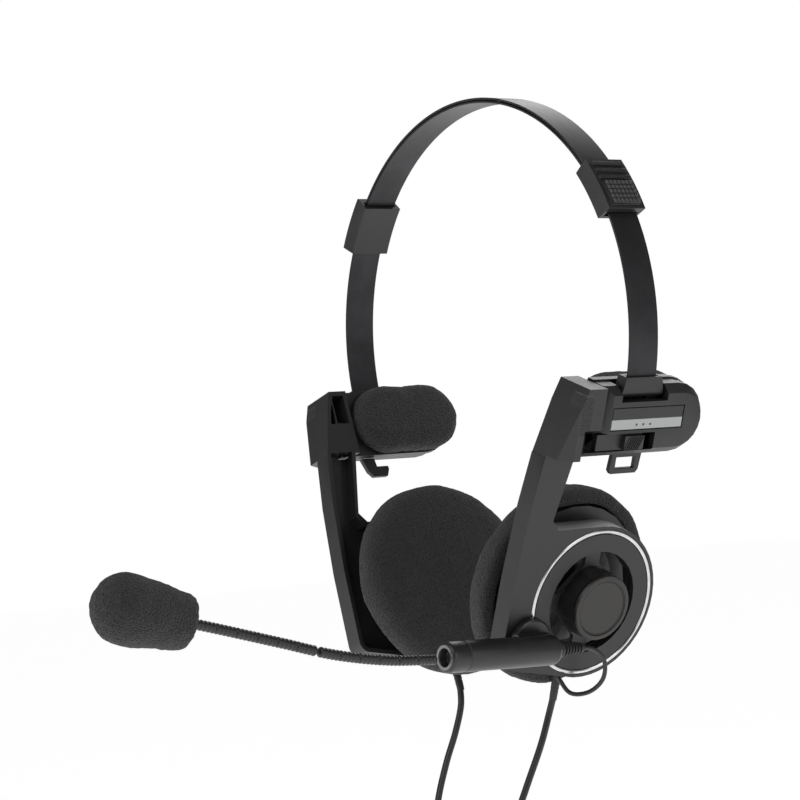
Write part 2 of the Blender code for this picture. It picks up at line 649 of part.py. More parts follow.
def build_boom(frame):
    """Swivel bracket, tube and strain relief of the boom."""
    near = GAP
    disc = [(near, 0), (near, SWIVEL_R), (near + 1.6, SWIVEL_R), (near + 2.0, SWIVEL_R - 0.5)]
    disc += [(near + 2.0, 0)]
    bracket = frame.solid("boom_bracket", turned(disc, 20), BLACK, smooth=True)
    saddle = block((near + 1.0, near + 4.4), (-6.0, 4.6), (-4.2, 2.6))
    frame.cut(bracket, saddle, "UNION")
    reach = BOOM_X - ARM_FACE
    frame.cut(bracket, rod(BOOM_R + GAP, -20, 20, (reach, 0, -0.8), "y", 18))

    tube = [(BOOM_REAR, 0), (BOOM_REAR, BOOM_R - 0.6), (BOOM_REAR - 0.8, BOOM_R)]
    tube += [(BOOM_FRONT + 1.0, BOOM_R), (BOOM_FRONT, BOOM_R - 0.9)]
    tube += [(BOOM_FRONT, NECK_R + 1.0), (BOOM_FRONT + 2.2, NECK_R + 0.5), (BOOM_FRONT + 2.2, 0)]
    middle = (reach, 0, -0.8)
    frame.solid("boom_tube", turned(tube, 18, middle, "y"), BLACK, smooth=True)

    relief = [(BOOM_REAR + GAP, 0), (BOOM_REAR + GAP, 2.3), (BOOM_REAR + 4.4, 2.2)]
    relief += [(BOOM_REAR + 5.0, 1.7), (BOOM_REAR + 9.6, 1.2), (BOOM_REAR + 9.6, 0)]
    frame.solid("boom_strain_relief", turned(relief, 12, middle, "y"), RUBBER, smooth=True)


NECK_ROUTE = [
    (42.6, -55.6, -85.9), (41.6, -71.0, -84.6), (40.2, -86.0, -81.8),
    (38.8, -101.0, -77.4), (37.4, -116.0, -73.0), (36.6, -124.4, -70.6),
]


def build_gooseneck(centre):
    """Two lengths of gooseneck; return the tip and its direction."""
    fine = smooth_route(NECK_ROUTE, NECK_STEP)
    share = len(fine) // NECK_PIECES
    skip = round((GAP + NECK_CLEAR) / NECK_STEP)
    for k in range(NECK_PIECES):
        start = k * share + skip
        end = (k + 1) * share if k < NECK_PIECES - 1 else len(fine) - 1
        spots = fine[start:end:12] + [fine[end]]
        cord(f"gooseneck_{k + 1}", spots, NECK_R, centre, RUBBER)
    return fine[-1], (fine[-1] - fine[-6]).normalized()


def build_microphone(tip, way, parent):
    """Microphone capsule on the gooseneck's tip, inside a foam windscreen."""
    turn = way.to_track_quat("Y", "Z").to_euler()
    spot = Frame("mic_frame", tip, parent=parent)
    spot.empty.rotation_euler = turn
    body = [(GAP, 0), (GAP, 1.8), (3.0, MIC_R - 0.4), (4.0, MIC_R), (15.0, MIC_R), (15.0, 0)]
    spot.solid("mic_capsule", turned(body, 14, axis="y"), BLACK, smooth=True)
    bore = MIC_R + GAP
    centre_y = SCREEN_L + 1.6 - SCREEN_R - 0.4
    foam = [(2.6, bore), (1.6, bore + 0.4), (1.6, SCREEN_R * 0.66), (2.4, SCREEN_R * 0.76)]
    foam += [(centre_y / 2, SCREEN_R * 0.9), (centre_y - 1.6, SCREEN_R)]
    foam += [(centre_y + SCREEN_R * math.sin(a), SCREEN_R * math.cos(a)) for a in spread(10, 80, 5)]
    foam += [(centre_y + SCREEN_R, 0), (15.6, 0), (15.6, bore)]
    spot.solid("mic_windscreen", turned_cup(foam, 20, (0, 0, 0), "y"), FOAM, smooth=True)


# ---------------------------------------------------------------- cords


BRANCH_ROUTE = [
    (21.4, -1.0, -102.7), (20.2, -1.9, -107.6), (19.8, -4.6, -115.0), (19.4, -9.0, -124.0),
    (17.8, -14.0, -135.0), (12.0, -19.4, -146.0), (4.6, -23.2, -156.0),
]
LEAD_ROUTE = [
    (42.8, -7.1, -87.6), (42.6, -3.4, -88.4), (42.2, 0.4, -91.6), (40.2, 1.4, -97.0),
    (36.4, -0.6, -100.6), (32.6, -4.0, -100.8), (30.2, -6.2, -96.4),
]


def hank_outline():
    """Bow-tie outline of the tied hank, as (x, z)."""
    top, low, half = HANK_Z + HANK_HALF, HANK_Z - HANK_HALF, LOOP_HALF + MAIN_R
    points = arc((HANK_X, top), half, 0, 180, 10)
    points += [(HANK_X - WAIST_HALF, HANK_Z + WAIST_LONG), (HANK_X - WAIST_HALF, HANK_Z - WAIST_LONG)]
    points += arc((HANK_X, low), half, 180, 360, 10)
    points += [(HANK_X + WAIST_HALF, HANK_Z - WAIST_LONG), (HANK_X + WAIST_HALF, HANK_Z + WAIST_LONG)]
    return points


def build_cords(centre, left, right, lead):
    """Branch cords, splitter, main cord, hank, tie, plug and microphone lead."""
    run = HANK_TURNS * MAIN_R  # half the depth that the turns' centrelines take
    front, back = HANK_Y - run - MAIN_R - GAP, HANK_Y + run + MAIN_R + GAP
    centre.solid("cord_hank", prism(hank_outline(), front, back, "y"), RUBBER)
    half = WAIST_HALF + GAP
    tie = block(
        (-half - TIE_T, half + TIE_T),
        (front - GAP - TIE_T, back + GAP + TIE_T),
        (HANK_Z - TIE_HALF, HANK_Z + TIE_HALF),
    )
    strap = centre.solid("cord_tie", tie, BLACK)
    inside = (HANK_Z - WAIST_LONG, HANK_Z + WAIST_LONG)
    centre.cut(strap, block((-half, half), (front - GAP, back + GAP), inside))

    low, high = SPLIT_TOP - SPLIT_H, SPLIT_TOP
    wide, slim = 2 * CORD_R + 1.2, MAIN_R + 0.6
    section = [(low, 0), (low, slim), (low + 5.0, wide), (high - 0.6, wide), (high, wide - 0.6)]
    splitter = turned(section + [(high, 0)], 14, (HANK_X, HANK_Y, 0), "z")
    centre.solid("cord_splitter", splitter, RUBBER, True)
    for side, frame, name in ((1, left, "left_cord"), (-1, right, "right_cord")):
        end = (CORD_R + GAP, HANK_Y, high + GAP)
        cord(name, BRANCH_ROUTE + [end], CORD_R, frame, RUBBER)

    # The main cord meets the hank's end loops at one edge, where their runs start and end
    reach = LOOP_HALF + MAIN_R
    dip = math.sqrt(reach**2 - (LOOP_HALF - MAIN_R) ** 2) + GAP
    top, bottom = HANK_Z + HANK_HALF + dip, HANK_Z - HANK_HALF - dip
    lift = [(HANK_X, HANK_Y, low - GAP), (HANK_X, HANK_Y - 0.6, low - 4)]
    lift += [(LOOP_HALF, HANK_Y - run, top + 5), (LOOP_HALF, HANK_Y - run, top)]
    cord("main_cord", lift, MAIN_R, centre, RUBBER)
    tail = [(LOOP_HALF, HANK_Y + run, bottom), (LOOP_HALF, HANK_Y + run - 0.5, bottom - 3)]
    tail += [(3.4, HANK_Y, bottom - 8.6), (0.8, PLUG_Y + 6, bottom - 6)]
    tail += [(HANK_X, PLUG_Y, bottom + 1), (HANK_X, PLUG_Y, PLUG_Z - GAP)]
    cord("main_cord_tail", tail, MAIN_R, centre, RUBBER)

    body = [(PLUG_Z, 0), (PLUG_Z, 1.6), (PLUG_Z + 6, 2.2), (PLUG_Z + 6.4, 3.6), (PLUG_Z + 20, 3.6)]
    base = PLUG_Z + 21
    body += [(base, 2.9), (base, 1.75), (base + 11, 1.75), (base + 11.8, 1.2)]
    body += [(base + 12.8, 1.6), (base + 14, 0.6), (base + 14, 0)]
    centre.solid("plug", turned(body, 14, (HANK_X, PLUG_Y, 0), "z"), BRIGHT, smooth=True)

    cord("mic_lead", LEAD_ROUTE, LEAD_R, lead, RUBBER)


# ---------------------------------------------------------------- assembly


def build_side(side, centre, layer_r):
    """Everything from the band's end down to the ear pad, on one side."""
    name = "left" if side > 0 else "right"
    a = math.radians(PIVOT_ANGLE)
    pivot = (PIVOT_R * math.sin(a), 0.0, PIVOT_R * math.cos(a))
    temple = Frame(name + "_temple_frame", pivot, (0, SIDE_TILT, 0), side, centre)
    build_bracket(name, temple, layer_r)
    build_temple(name, side, temple)
    build_slider(name, temple)
    build_arm(name, temple)
    bar = rod(ARM_PIN_R, LUG_Z[0], BLOCK_Z[1] - WALL - GAP, (HINGE_X, HINGE_Y, 0), "z")
    temple.solid(name + "_arm_pin", bar, BRIGHT, smooth=True)
    build_ear_ring(name, temple)
    ball = Frame(name + "_ball_frame", (BALL_X, RING_Y, RING_Z), (0, 0, 0), side, temple)
    ball_profile = [(BALL_R * math.sin(t), BALL_R * math.cos(t)) for t in spread(-90, 90, 8)]
    ball_profile = [(x, 0 if r < 1e-6 else r) for x, r in ball_profile]
    ball.solid(name + "_ball", turned(ball_profile, 14), BLACK, smooth=True)
    capsule = Frame(name + "_capsule_frame", (BALL_X, RING_Y, RING_Z), (0, 0, 0), side, temple)
    build_capsule(name, capsule)
    return temple


def main():
    """Build the headset."""
    clear_scene()
    centre = Frame("band_centre", (0, 0, -CROWN_R))
    right_centre = Frame("band_centre_mirror", (0, 0, -CROWN_R), side=-1)
    build_band(1, centre, BAND_R)
    build_band(-1, right_centre, INNER_R)
    left = build_side(1, centre, BAND_R)
    build_side(-1, right_centre, INNER_R)
    boom = Frame("boom_frame", (ARM_FACE, BOOM_Y, BOOM_Z), (BOOM_TILT, 0, 0), 1, left)
    build_boom(boom)
    tip, way = build_gooseneck(centre)
    build_microphone(tip, way, centre)
    build_cords(centre, centre, right_centre, centre)


main()
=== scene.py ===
"""A folding on-ear headset with a boom microphone: looks, cords, studio and camera.

Sizes are in millimetres and turned into metres where a mesh is made. Most pieces are drawn
in one of two frames: the band's, whose origin is the centre of the band's arc, and the
temple's on each side, whose origin is the pin that joins the band's bracket to the temple
unit, with x pointing outward, y back and z up along the tilted side.
"""
import logging
import math
from dataclasses import dataclass
from enum import Enum
from typing import Callable, Iterable, Optional, Sequence

import bmesh
import bpy
from mathutils import Matrix, Vector, noise


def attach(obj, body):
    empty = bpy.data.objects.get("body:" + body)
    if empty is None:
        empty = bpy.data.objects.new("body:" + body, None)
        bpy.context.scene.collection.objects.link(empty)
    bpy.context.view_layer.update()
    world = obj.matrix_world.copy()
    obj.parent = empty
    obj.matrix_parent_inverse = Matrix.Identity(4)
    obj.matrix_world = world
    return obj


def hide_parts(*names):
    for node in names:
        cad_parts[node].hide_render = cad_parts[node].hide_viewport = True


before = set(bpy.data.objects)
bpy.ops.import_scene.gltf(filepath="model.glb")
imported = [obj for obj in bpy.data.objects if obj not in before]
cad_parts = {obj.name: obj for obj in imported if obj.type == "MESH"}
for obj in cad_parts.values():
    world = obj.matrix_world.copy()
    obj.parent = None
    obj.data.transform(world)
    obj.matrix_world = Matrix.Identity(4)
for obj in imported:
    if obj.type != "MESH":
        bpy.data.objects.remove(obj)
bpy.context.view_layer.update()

MM = 0.001
CROWN_R = 64.5
PIVOT_R = 65.2
PIVOT_ANGLE = math.radians(106.9)
TILT = math.radians(18.5)

ARM_FACE = -3.1
BLACK = (0.0085, 0.0085, 0.0092)
BACK_AND_FORTH = Vector((0, 1, 0))
STRAIGHT_UP = Vector((0, 0, 1))
STRIP_PAST_CLAMP = 3.0
FLOOR_Z = -0.62
FLOOR_REACH = 6.0
FOAM_SEED = 7

log = logging.getLogger("headset")


class Side(Enum):
    """The two sides of the headset, as the wearer sees them."""

    LEFT = 1
    RIGHT = -1

    @property
    def word(self) -> str:
        """The side's name as it starts a node's name."""
        return self.name.lower()


def in_band(point: Sequence[float]) -> Vector:
    """Place a point of the band's frame, in millimetres, in the model's frame."""
    return Vector((point[0], point[1], point[2] - CROWN_R)) * MM


@dataclass(frozen=True)
class TempleFrame:
    """The tilted frame of one side, on its pivot pin."""

    side: Side

    def at(self, point: Sequence[float]) -> Vector:
        """Place a point of this frame, in millimetres, in the model's frame."""
        x, y, z = point
        px, pz = PIVOT_R * math.sin(PIVOT_ANGLE), PIVOT_R * math.cos(PIVOT_ANGLE) - CROWN_R
        wide = px + x * math.cos(TILT) + z * math.sin(TILT)
        return Vector((self.side.value * wide, y, pz - x * math.sin(TILT) + z * math.cos(TILT))) * MM

    @property
    def outward(self) -> Vector:
        """Direction of the frame's x."""
        return Vector((self.side.value * math.cos(TILT), 0.0, -math.sin(TILT)))

    @property
    def up(self) -> Vector:
        """Direction of the frame's z."""
        return Vector((self.side.value * math.sin(TILT), 0.0, math.cos(TILT)))

    @property
    def origin(self) -> Vector:
        """The pivot pin's middle, in metres."""
        return self.at((0.0, 0.0, 0.0))


# ------------------------------------------------------------------ shader maths


class Signal:
    """One shader socket, with the arithmetic that it takes part in."""

    def __init__(self, paint: "Paint", socket: bpy.types.NodeSocket) -> None:
        """Keep the material being painted and the socket."""
        self.paint = paint
        self.socket = socket

    def _maths(self, operation: str, *values: "Number") -> "Signal":
        """Add one Math node.

        Args:
            operation: the Math node's operation.
            values: the signals or numbers it works on.

        Returns:
            The node's result.
        """
        return self.paint.node("ShaderNodeMath", {"operation": operation}, dict(enumerate(values)))

    def __add__(self, other: "Number") -> "Signal":
        """Add."""
        return self._maths("ADD", self, other)

    __radd__ = __add__

    def __sub__(self, other: "Number") -> "Signal":
        """Subtract."""
        return self._maths("SUBTRACT", self, other)

    def __rsub__(self, other: "Number") -> "Signal":
        """Subtract from a number."""
        return self._maths("SUBTRACT", other, self)

    def __mul__(self, other: "Number") -> "Signal":
        """Multiply."""
        return self._maths("MULTIPLY", self, other)

    __rmul__ = __mul__

    def __truediv__(self, other: "Number") -> "Signal":
        """Divide."""
        return self._maths("DIVIDE", self, other)

    def __pow__(self, other: "Number") -> "Signal":
        """Raise to a power."""
        return self._maths("POWER", self, other)

    def __abs__(self) -> "Signal":
        """Size without sign."""
        return self._maths("ABSOLUTE", self)

    def lowest(self, other: "Number") -> "Signal":
        """The smaller of two."""
        return self._maths("MINIMUM", self, other)

    def highest(self, other: "Number") -> "Signal":
        """The larger of two."""
        return self._maths("MAXIMUM", self, other)

    def ramp(self, low: float, high: float) -> "Signal":
        """0 at low, 1 at high, smooth between."""
        settings = {"interpolation_type": "SMOOTHSTEP"}
        values = {"Value": self, "From Min": low, "From Max": high}
        return self.paint.node("ShaderNodeMapRange", settings, values)


Number = float | Signal


class Paint:
    """One node material in the making."""

    def __init__(self, name: str) -> None:
        """Start a Principled material."""
        self.material = bpy.data.materials.new(name)
        self.material.use_nodes = True
        self.tree = self.material.node_tree
        self.shader = self.tree.nodes["Principled BSDF"]
        coordinates = self.tree.nodes.new("ShaderNodeTexCoord")
        self.place = Signal(self, coordinates.outputs["Object"])

    def node(self, kind: str, settings: dict, values: dict, output: str | int = 0) -> Signal:
        """Add a node.

        Args:
            kind: the node's type.
            settings: its properties, set before its sockets.
            values: socket name or index to a number, colour, vector or Signal.
            output: the output to return.

        Returns:
            The chosen output.
        """
        made = self.tree.nodes.new(kind)
        for key, value in settings.items():
            setattr(made, key, value)
        for key, value in values.items():
            if isinstance(value, Signal):
                self.tree.links.new(value.socket, made.inputs[key])
            else:
                made.inputs[key].default_value = value
        return Signal(self, made.outputs[output])

    def noise(self, size: float, detail: float = 3.0, rough: float = 0.5,
              place: Optional[Signal] = None) -> Signal:
        """Cloudy noise whose patches are about size millimetres across."""
        values = {"Vector": place or self.place, "Scale": 1.0 / (size * MM), "Detail": detail,
                  "Roughness": rough}
        return self.node("ShaderNodeTexNoise", {}, values)

    def cells(self, size: float) -> Signal:
        """Distance to the nearest of scattered points, size millimetres apart."""
        values = {"Vector": self.place, "Scale": 1.0 / (size * MM)}
        return self.node("ShaderNodeTexVoronoi", {"feature": "F1"}, values)

    def along(self, origin: Vector, way: Vector) -> Signal:
        """Distance from a point along a direction, in millimetres."""
        shifted = self.node("ShaderNodeVectorMath", {"operation": "SUBTRACT"},
                            {0: self.place, 1: tuple(origin)})
        return self.node("ShaderNodeVectorMath", {"operation": "DOT_PRODUCT"},
                         {0: shifted, 1: tuple(way / MM)}, "Value")

    def stretched(self, factors: Sequence[float]) -> Signal:
        """The object's coordinates scaled by one factor each way."""
        return self.node("ShaderNodeVectorMath", {"operation": "MULTIPLY"},
                         {0: self.place, 1: tuple(factors)})

    def mix(self, share: Signal, one: Sequence[float], two: Sequence[float] | Signal) -> Signal:
        """A colour between two."""
        first = one if isinstance(one, Signal) else (*one, 1.0)
        second = two if isinstance(two, Signal) else (*two, 1.0)
        return self.node("ShaderNodeMix", {"data_type": "RGBA"},
                         {0: share, 6: first, 7: second}, 2)

    def bump(self, height: Signal, depth: float, strength: float = 1.0) -> Signal:
        """A normal from a height between 0 and 1 that stands for depth millimetres."""
        return self.node("ShaderNodeBump", {}, {"Height": height, "Distance": depth * MM,
                                                "Strength": strength})

    def finish(self, **sockets: "Number | Sequence[float]") -> bpy.types.Material:
        """Set the shader's sockets by name, underscores for spaces."""
        for key, value in sockets.items():
            target = self.shader.inputs[key.replace("_", " ")]
            if isinstance(value, Signal):
                self.tree.links.new(value.socket, target)
            elif isinstance(value, (tuple, list)):
                target.default_value = (*value, 1.0)
            else:
                target.default_value = value
        return self.material


# ------------------------------------------------------------------ finishes


@dataclass(frozen=True)
class MouldedPlastic:
    """Black injection-moulded plastic with a fine spark-eroded grain."""

    name: str = "moulded_black"
    face: tuple = BLACK
    worn: tuple = (0.021, 0.021, 0.022)
    rough: float = 0.42
    grain: float = 0.28
    depth: float = 0.018

    def make(self) -> bpy.types.Material:
        """Build the material."""
        paint = Paint(self.name)
        cloud = paint.noise(9.0, 4.0, 0.6)
        grain = paint.noise(self.grain, 2.0, 0.6)
        dust = paint.noise(0.9, 5.0, 0.7).ramp(0.62, 0.78)
        colour = paint.mix(cloud.ramp(0.25, 0.8) * 0.55 + dust * 0.35, self.face, self.worn)
        rough = cloud * 0.16 + (self.rough - 0.08) + dust * 0.12
        return paint.finish(Base_Color=colour, Roughness=rough,
                            Normal=paint.bump(grain, self.depth, 0.8))


@dataclass(frozen=True)
class StippledPanel:
    """Moulded plastic whose outer face has a sunk, stippled panel, with a painted highlight line along
    the panel's edge.
    """

    name: str
    place: TempleFrame
    centre: tuple = (-19.4, -5.6)
    half: tuple = (1.9, 5.4)
    corner: float = 1.4

    def make(self) -> bpy.types.Material:
        """Build the material."""
        paint = Paint(self.name)
        spot = self.place.at((0.0, self.centre[0], self.centre[1]))
        across = abs(paint.along(spot, BACK_AND_FORTH)) - (self.half[0] - self.corner)
        high = abs(paint.along(spot, self.place.up)) - (self.half[1] - self.corner)
        outer = (across.highest(0.0) ** 2.0 + high.highest(0.0) ** 2.0) ** 0.5
        inner = across.highest(high).lowest(0.0)
        edge = outer + inner - self.corner
        out = paint.along(spot, self.place.outward).ramp(-2.0, -1.0)
        inside = (1.0 - edge.ramp(-0.2, 0.15)) * out
        stipple = paint.cells(0.62).ramp(0.15, 0.6)
        grain = paint.noise(0.28, 2.0, 0.6)
        cloud = paint.noise(8.0, 4.0, 0.6)
        # rim is a painted highlight: a lighter line along the sunk panel's edge.
        rim = (1.0 - (abs(edge) / 0.35).ramp(0.0, 1.0)) * out
        height = 0.7 - inside * 0.5 + inside * stipple * 0.25 + grain * 0.03
        colour = paint.mix(cloud * 0.4 + rim * 0.5, BLACK, (0.028, 0.028, 0.030))
        return paint.finish(Base_Color=colour, Roughness=cloud * 0.12 + 0.36 + inside * 0.16,
                            Normal=paint.bump(height, 0.5, 0.9))


@dataclass(frozen=True)
class SpringSteel:
    """Blued and oiled spring strip, drawn along its length."""

    name: str = "spring_steel"

    def make(self) -> bpy.types.Material:
        """Build the material."""
        paint = Paint(self.name)
        lines = paint.noise(0.35, 3.0, 0.6, paint.stretched((0.06, 1.0, 0.06)))
        cloud = paint.noise(14.0, 4.0, 0.6)
        wear = paint.noise(2.2, 5.0, 0.7).ramp(0.6, 0.8)
        colour = paint.mix(cloud.ramp(0.3, 0.75) * 0.6 + wear * 0.3, (0.020, 0.020, 0.022),
                           (0.048, 0.048, 0.052))
        rough = lines * 0.14 + 0.30 + wear * 0.1
        return paint.finish(Base_Color=colour, Metallic=0.6, Roughness=rough,
                            Normal=paint.bump(lines, 0.012, 0.6))


@dataclass(frozen=True)
class BrightMetal:
    """Polished nickel plate with faint hairlines."""

    name: str = "bright_nickel"
    colour: tuple = (0.70, 0.70, 0.71)
    rough: float = 0.16

    def make(self) -> bpy.types.Material:
        """Build the material."""
        paint = Paint(self.name)
        haze = paint.noise(3.0, 5.0, 0.65)
        lines = paint.noise(0.18, 2.0, 0.5)
        tone = tuple(c * 0.72 for c in self.colour)
        return paint.finish(Base_Color=paint.mix(haze.ramp(0.3, 0.8), tone, self.colour),
                            Metallic=1.0, Roughness=haze * 0.16 + self.rough - 0.05,
                            Normal=paint.bump(lines, 0.004, 0.5))


DARK_STEEL = BrightMetal("pin_steel", (0.10, 0.10, 0.105), 0.3)


@dataclass(frozen=True)
class OpenCellFoam:
    """Open-cell foam: a torn, pitted surface of small cells, with painted shade in the pits."""

    name: str
    cell: float = 0.6
    dark: tuple = (0.0035, 0.0035, 0.004)
    light: tuple = (0.030, 0.030, 0.031)

    def make(self) -> bpy.types.Material:
        """Build the material."""
        paint = Paint(self.name)
        big = paint.cells(self.cell)
        small = paint.cells(self.cell * 0.45)
        pit_depth_and_shade = big.ramp(0.1, 0.62) * 0.65 + small.ramp(0.1, 0.6) * 0.35
        lumps = paint.noise(5.0, 4.0, 0.6)
        # The colour is darkest in the pits, where the bump sinks: painted shade. The lumps vary it
        # too.
        tone = (pit_depth_and_shade * 0.75 + lumps * 0.4 - 0.12).ramp(0.05, 0.95)
        return paint.finish(Base_Color=paint.mix(tone, self.dark, self.light),
                            Roughness=0.9 + lumps * 0.08, Sheen_Weight=0.12, Sheen_Roughness=0.6,
                            Specular_IOR_Level=0.25,
                            Normal=paint.bump(pit_depth_and_shade * 0.8 + lumps * 0.4, 0.55, 1.0))


@dataclass(frozen=True)
class CordJacket:
    """Soft PVC cord jacket with faint extrusion marks."""

    name: str = "cord_jacket"
    face: tuple = (0.008, 0.008, 0.0085)
    rough: float = 0.38

    def make(self) -> bpy.types.Material:
        """Build the material."""
        paint = Paint(self.name)
        cloud = paint.noise(4.0, 4.0, 0.6)
        fine = paint.noise(0.25, 2.0, 0.6)
        light = tuple(c * 2.1 for c in self.face)
        return paint.finish(Base_Color=paint.mix(cloud.ramp(0.3, 0.8) * 0.7, self.face, light),
                            Roughness=cloud * 0.18 + self.rough - 0.05,
                            Normal=paint.bump(fine, 0.012, 0.6))


@dataclass(frozen=True)
class PrintedPlate:
    """Self-adhesive plate: dark above, pale grey below with three small dots."""

    name: str
    place: TempleFrame
    split: float = -7.2
    dots: tuple = (-1.6, 0.8, 3.2)
    dot_z: float = -8.7

    def make(self) -> bpy.types.Material:
        """Build the material."""
        paint = Paint(self.name)
        high = paint.along(self.place.origin, self.place.up)
        across = paint.along(self.place.origin, BACK_AND_FORTH)
        pale = 1.0 - high.ramp(self.split - 0.06, self.split + 0.06)
        worn = paint.noise(1.4, 5.0, 0.7)
        base = paint.mix(pale, (0.012, 0.012, 0.013), (0.36, 0.37, 0.37))
        marks: Number = 0.0
        for spot in self.dots:
            gap = ((across - spot) ** 2.0 + (high - self.dot_z) ** 2.0) ** 0.5
            marks = (1.0 - gap.ramp(0.30, 0.42)) + marks
        inked = paint.mix(marks, base, (0.03, 0.03, 0.03))
        return paint.finish(Base_Color=paint.mix(worn.ramp(0.6, 0.9) * 0.25, inked, (0.2, 0.2, 0.2)),
                            Roughness=worn * 0.2 + 0.28, Normal=paint.bump(worn, 0.01, 0.5))


@dataclass(frozen=True)
class RimmedCap:
    """Dark cap with a thin pressed line near its rim; the line is painted lighter, a painted
    highlight.
    """

    name: str
    place: TempleFrame
    line: float = 7.6
    face: tuple = (0.012, 0.0105, 0.0095)

    def make(self) -> bpy.types.Material:
        """Build the material."""
        paint = Paint(self.name)
        centre = self.place.at((0.0, EarArm.ring_y, EarArm.ring_z))
        a = paint.along(centre, BACK_AND_FORTH)
        b = paint.along(centre, self.place.up)
        radius = (a ** 2.0 + b ** 2.0) ** 0.5
        groove = 1.0 - (abs(radius - self.line) / 0.28).ramp(0.0, 1.0)
        grain = paint.noise(0.24, 2.0, 0.6)
        cloud = paint.noise(6.0, 4.0, 0.6)
        light = tuple(c * 2.2 for c in self.face)
        # The pressed line is painted lighter than the face: a painted highlight along the groove. The
        # cloud varies the tone.
        return paint.finish(Base_Color=paint.mix(groove * 0.5 + cloud * 0.3, self.face, light),
                            Roughness=cloud * 0.14 + 0.33,
                            Normal=paint.bump(grain * 0.05 - groove * 0.5, 0.35, 0.9))


@dataclass(frozen=True)
class PerforatedPlate:
    """Plate with a close pattern of round holes, painted near black inside as painted shade."""

    name: str = "perforated_plate"
    pitch: float = 1.8

    def make(self) -> bpy.types.Material:
        """Build the material."""
        paint = Paint(self.name)
        holes = paint.cells(self.pitch).ramp(0.28, 0.36)
        cloud = paint.noise(5.0, 3.0, 0.5)
        # The holes are painted near black: painted shade inside them.
        colour = paint.mix(holes, (0.003, 0.003, 0.003), (0.03, 0.03, 0.032))
        return paint.finish(Base_Color=colour, Roughness=cloud * 0.15 + 0.4,
                            Normal=paint.bump(holes, 0.4, 0.9))


@dataclass(frozen=True)
class StudioPaper:
    """Plain pale backdrop."""

    name: str = "studio_paper"

    def make(self) -> bpy.types.Material:
        """Build the material."""
        paint = Paint(self.name)
        cloud = paint.noise(60.0, 2.0, 0.5)
        return paint.finish(Base_Color=paint.mix(cloud, (0.90, 0.90, 0.90), (0.93, 0.93, 0.93)),
                            Roughness=0.9, Emission_Color=(1.0, 1.0, 1.0),
                            Emission_Strength=0.80)


# ------------------------------------------------------------------ mesh work


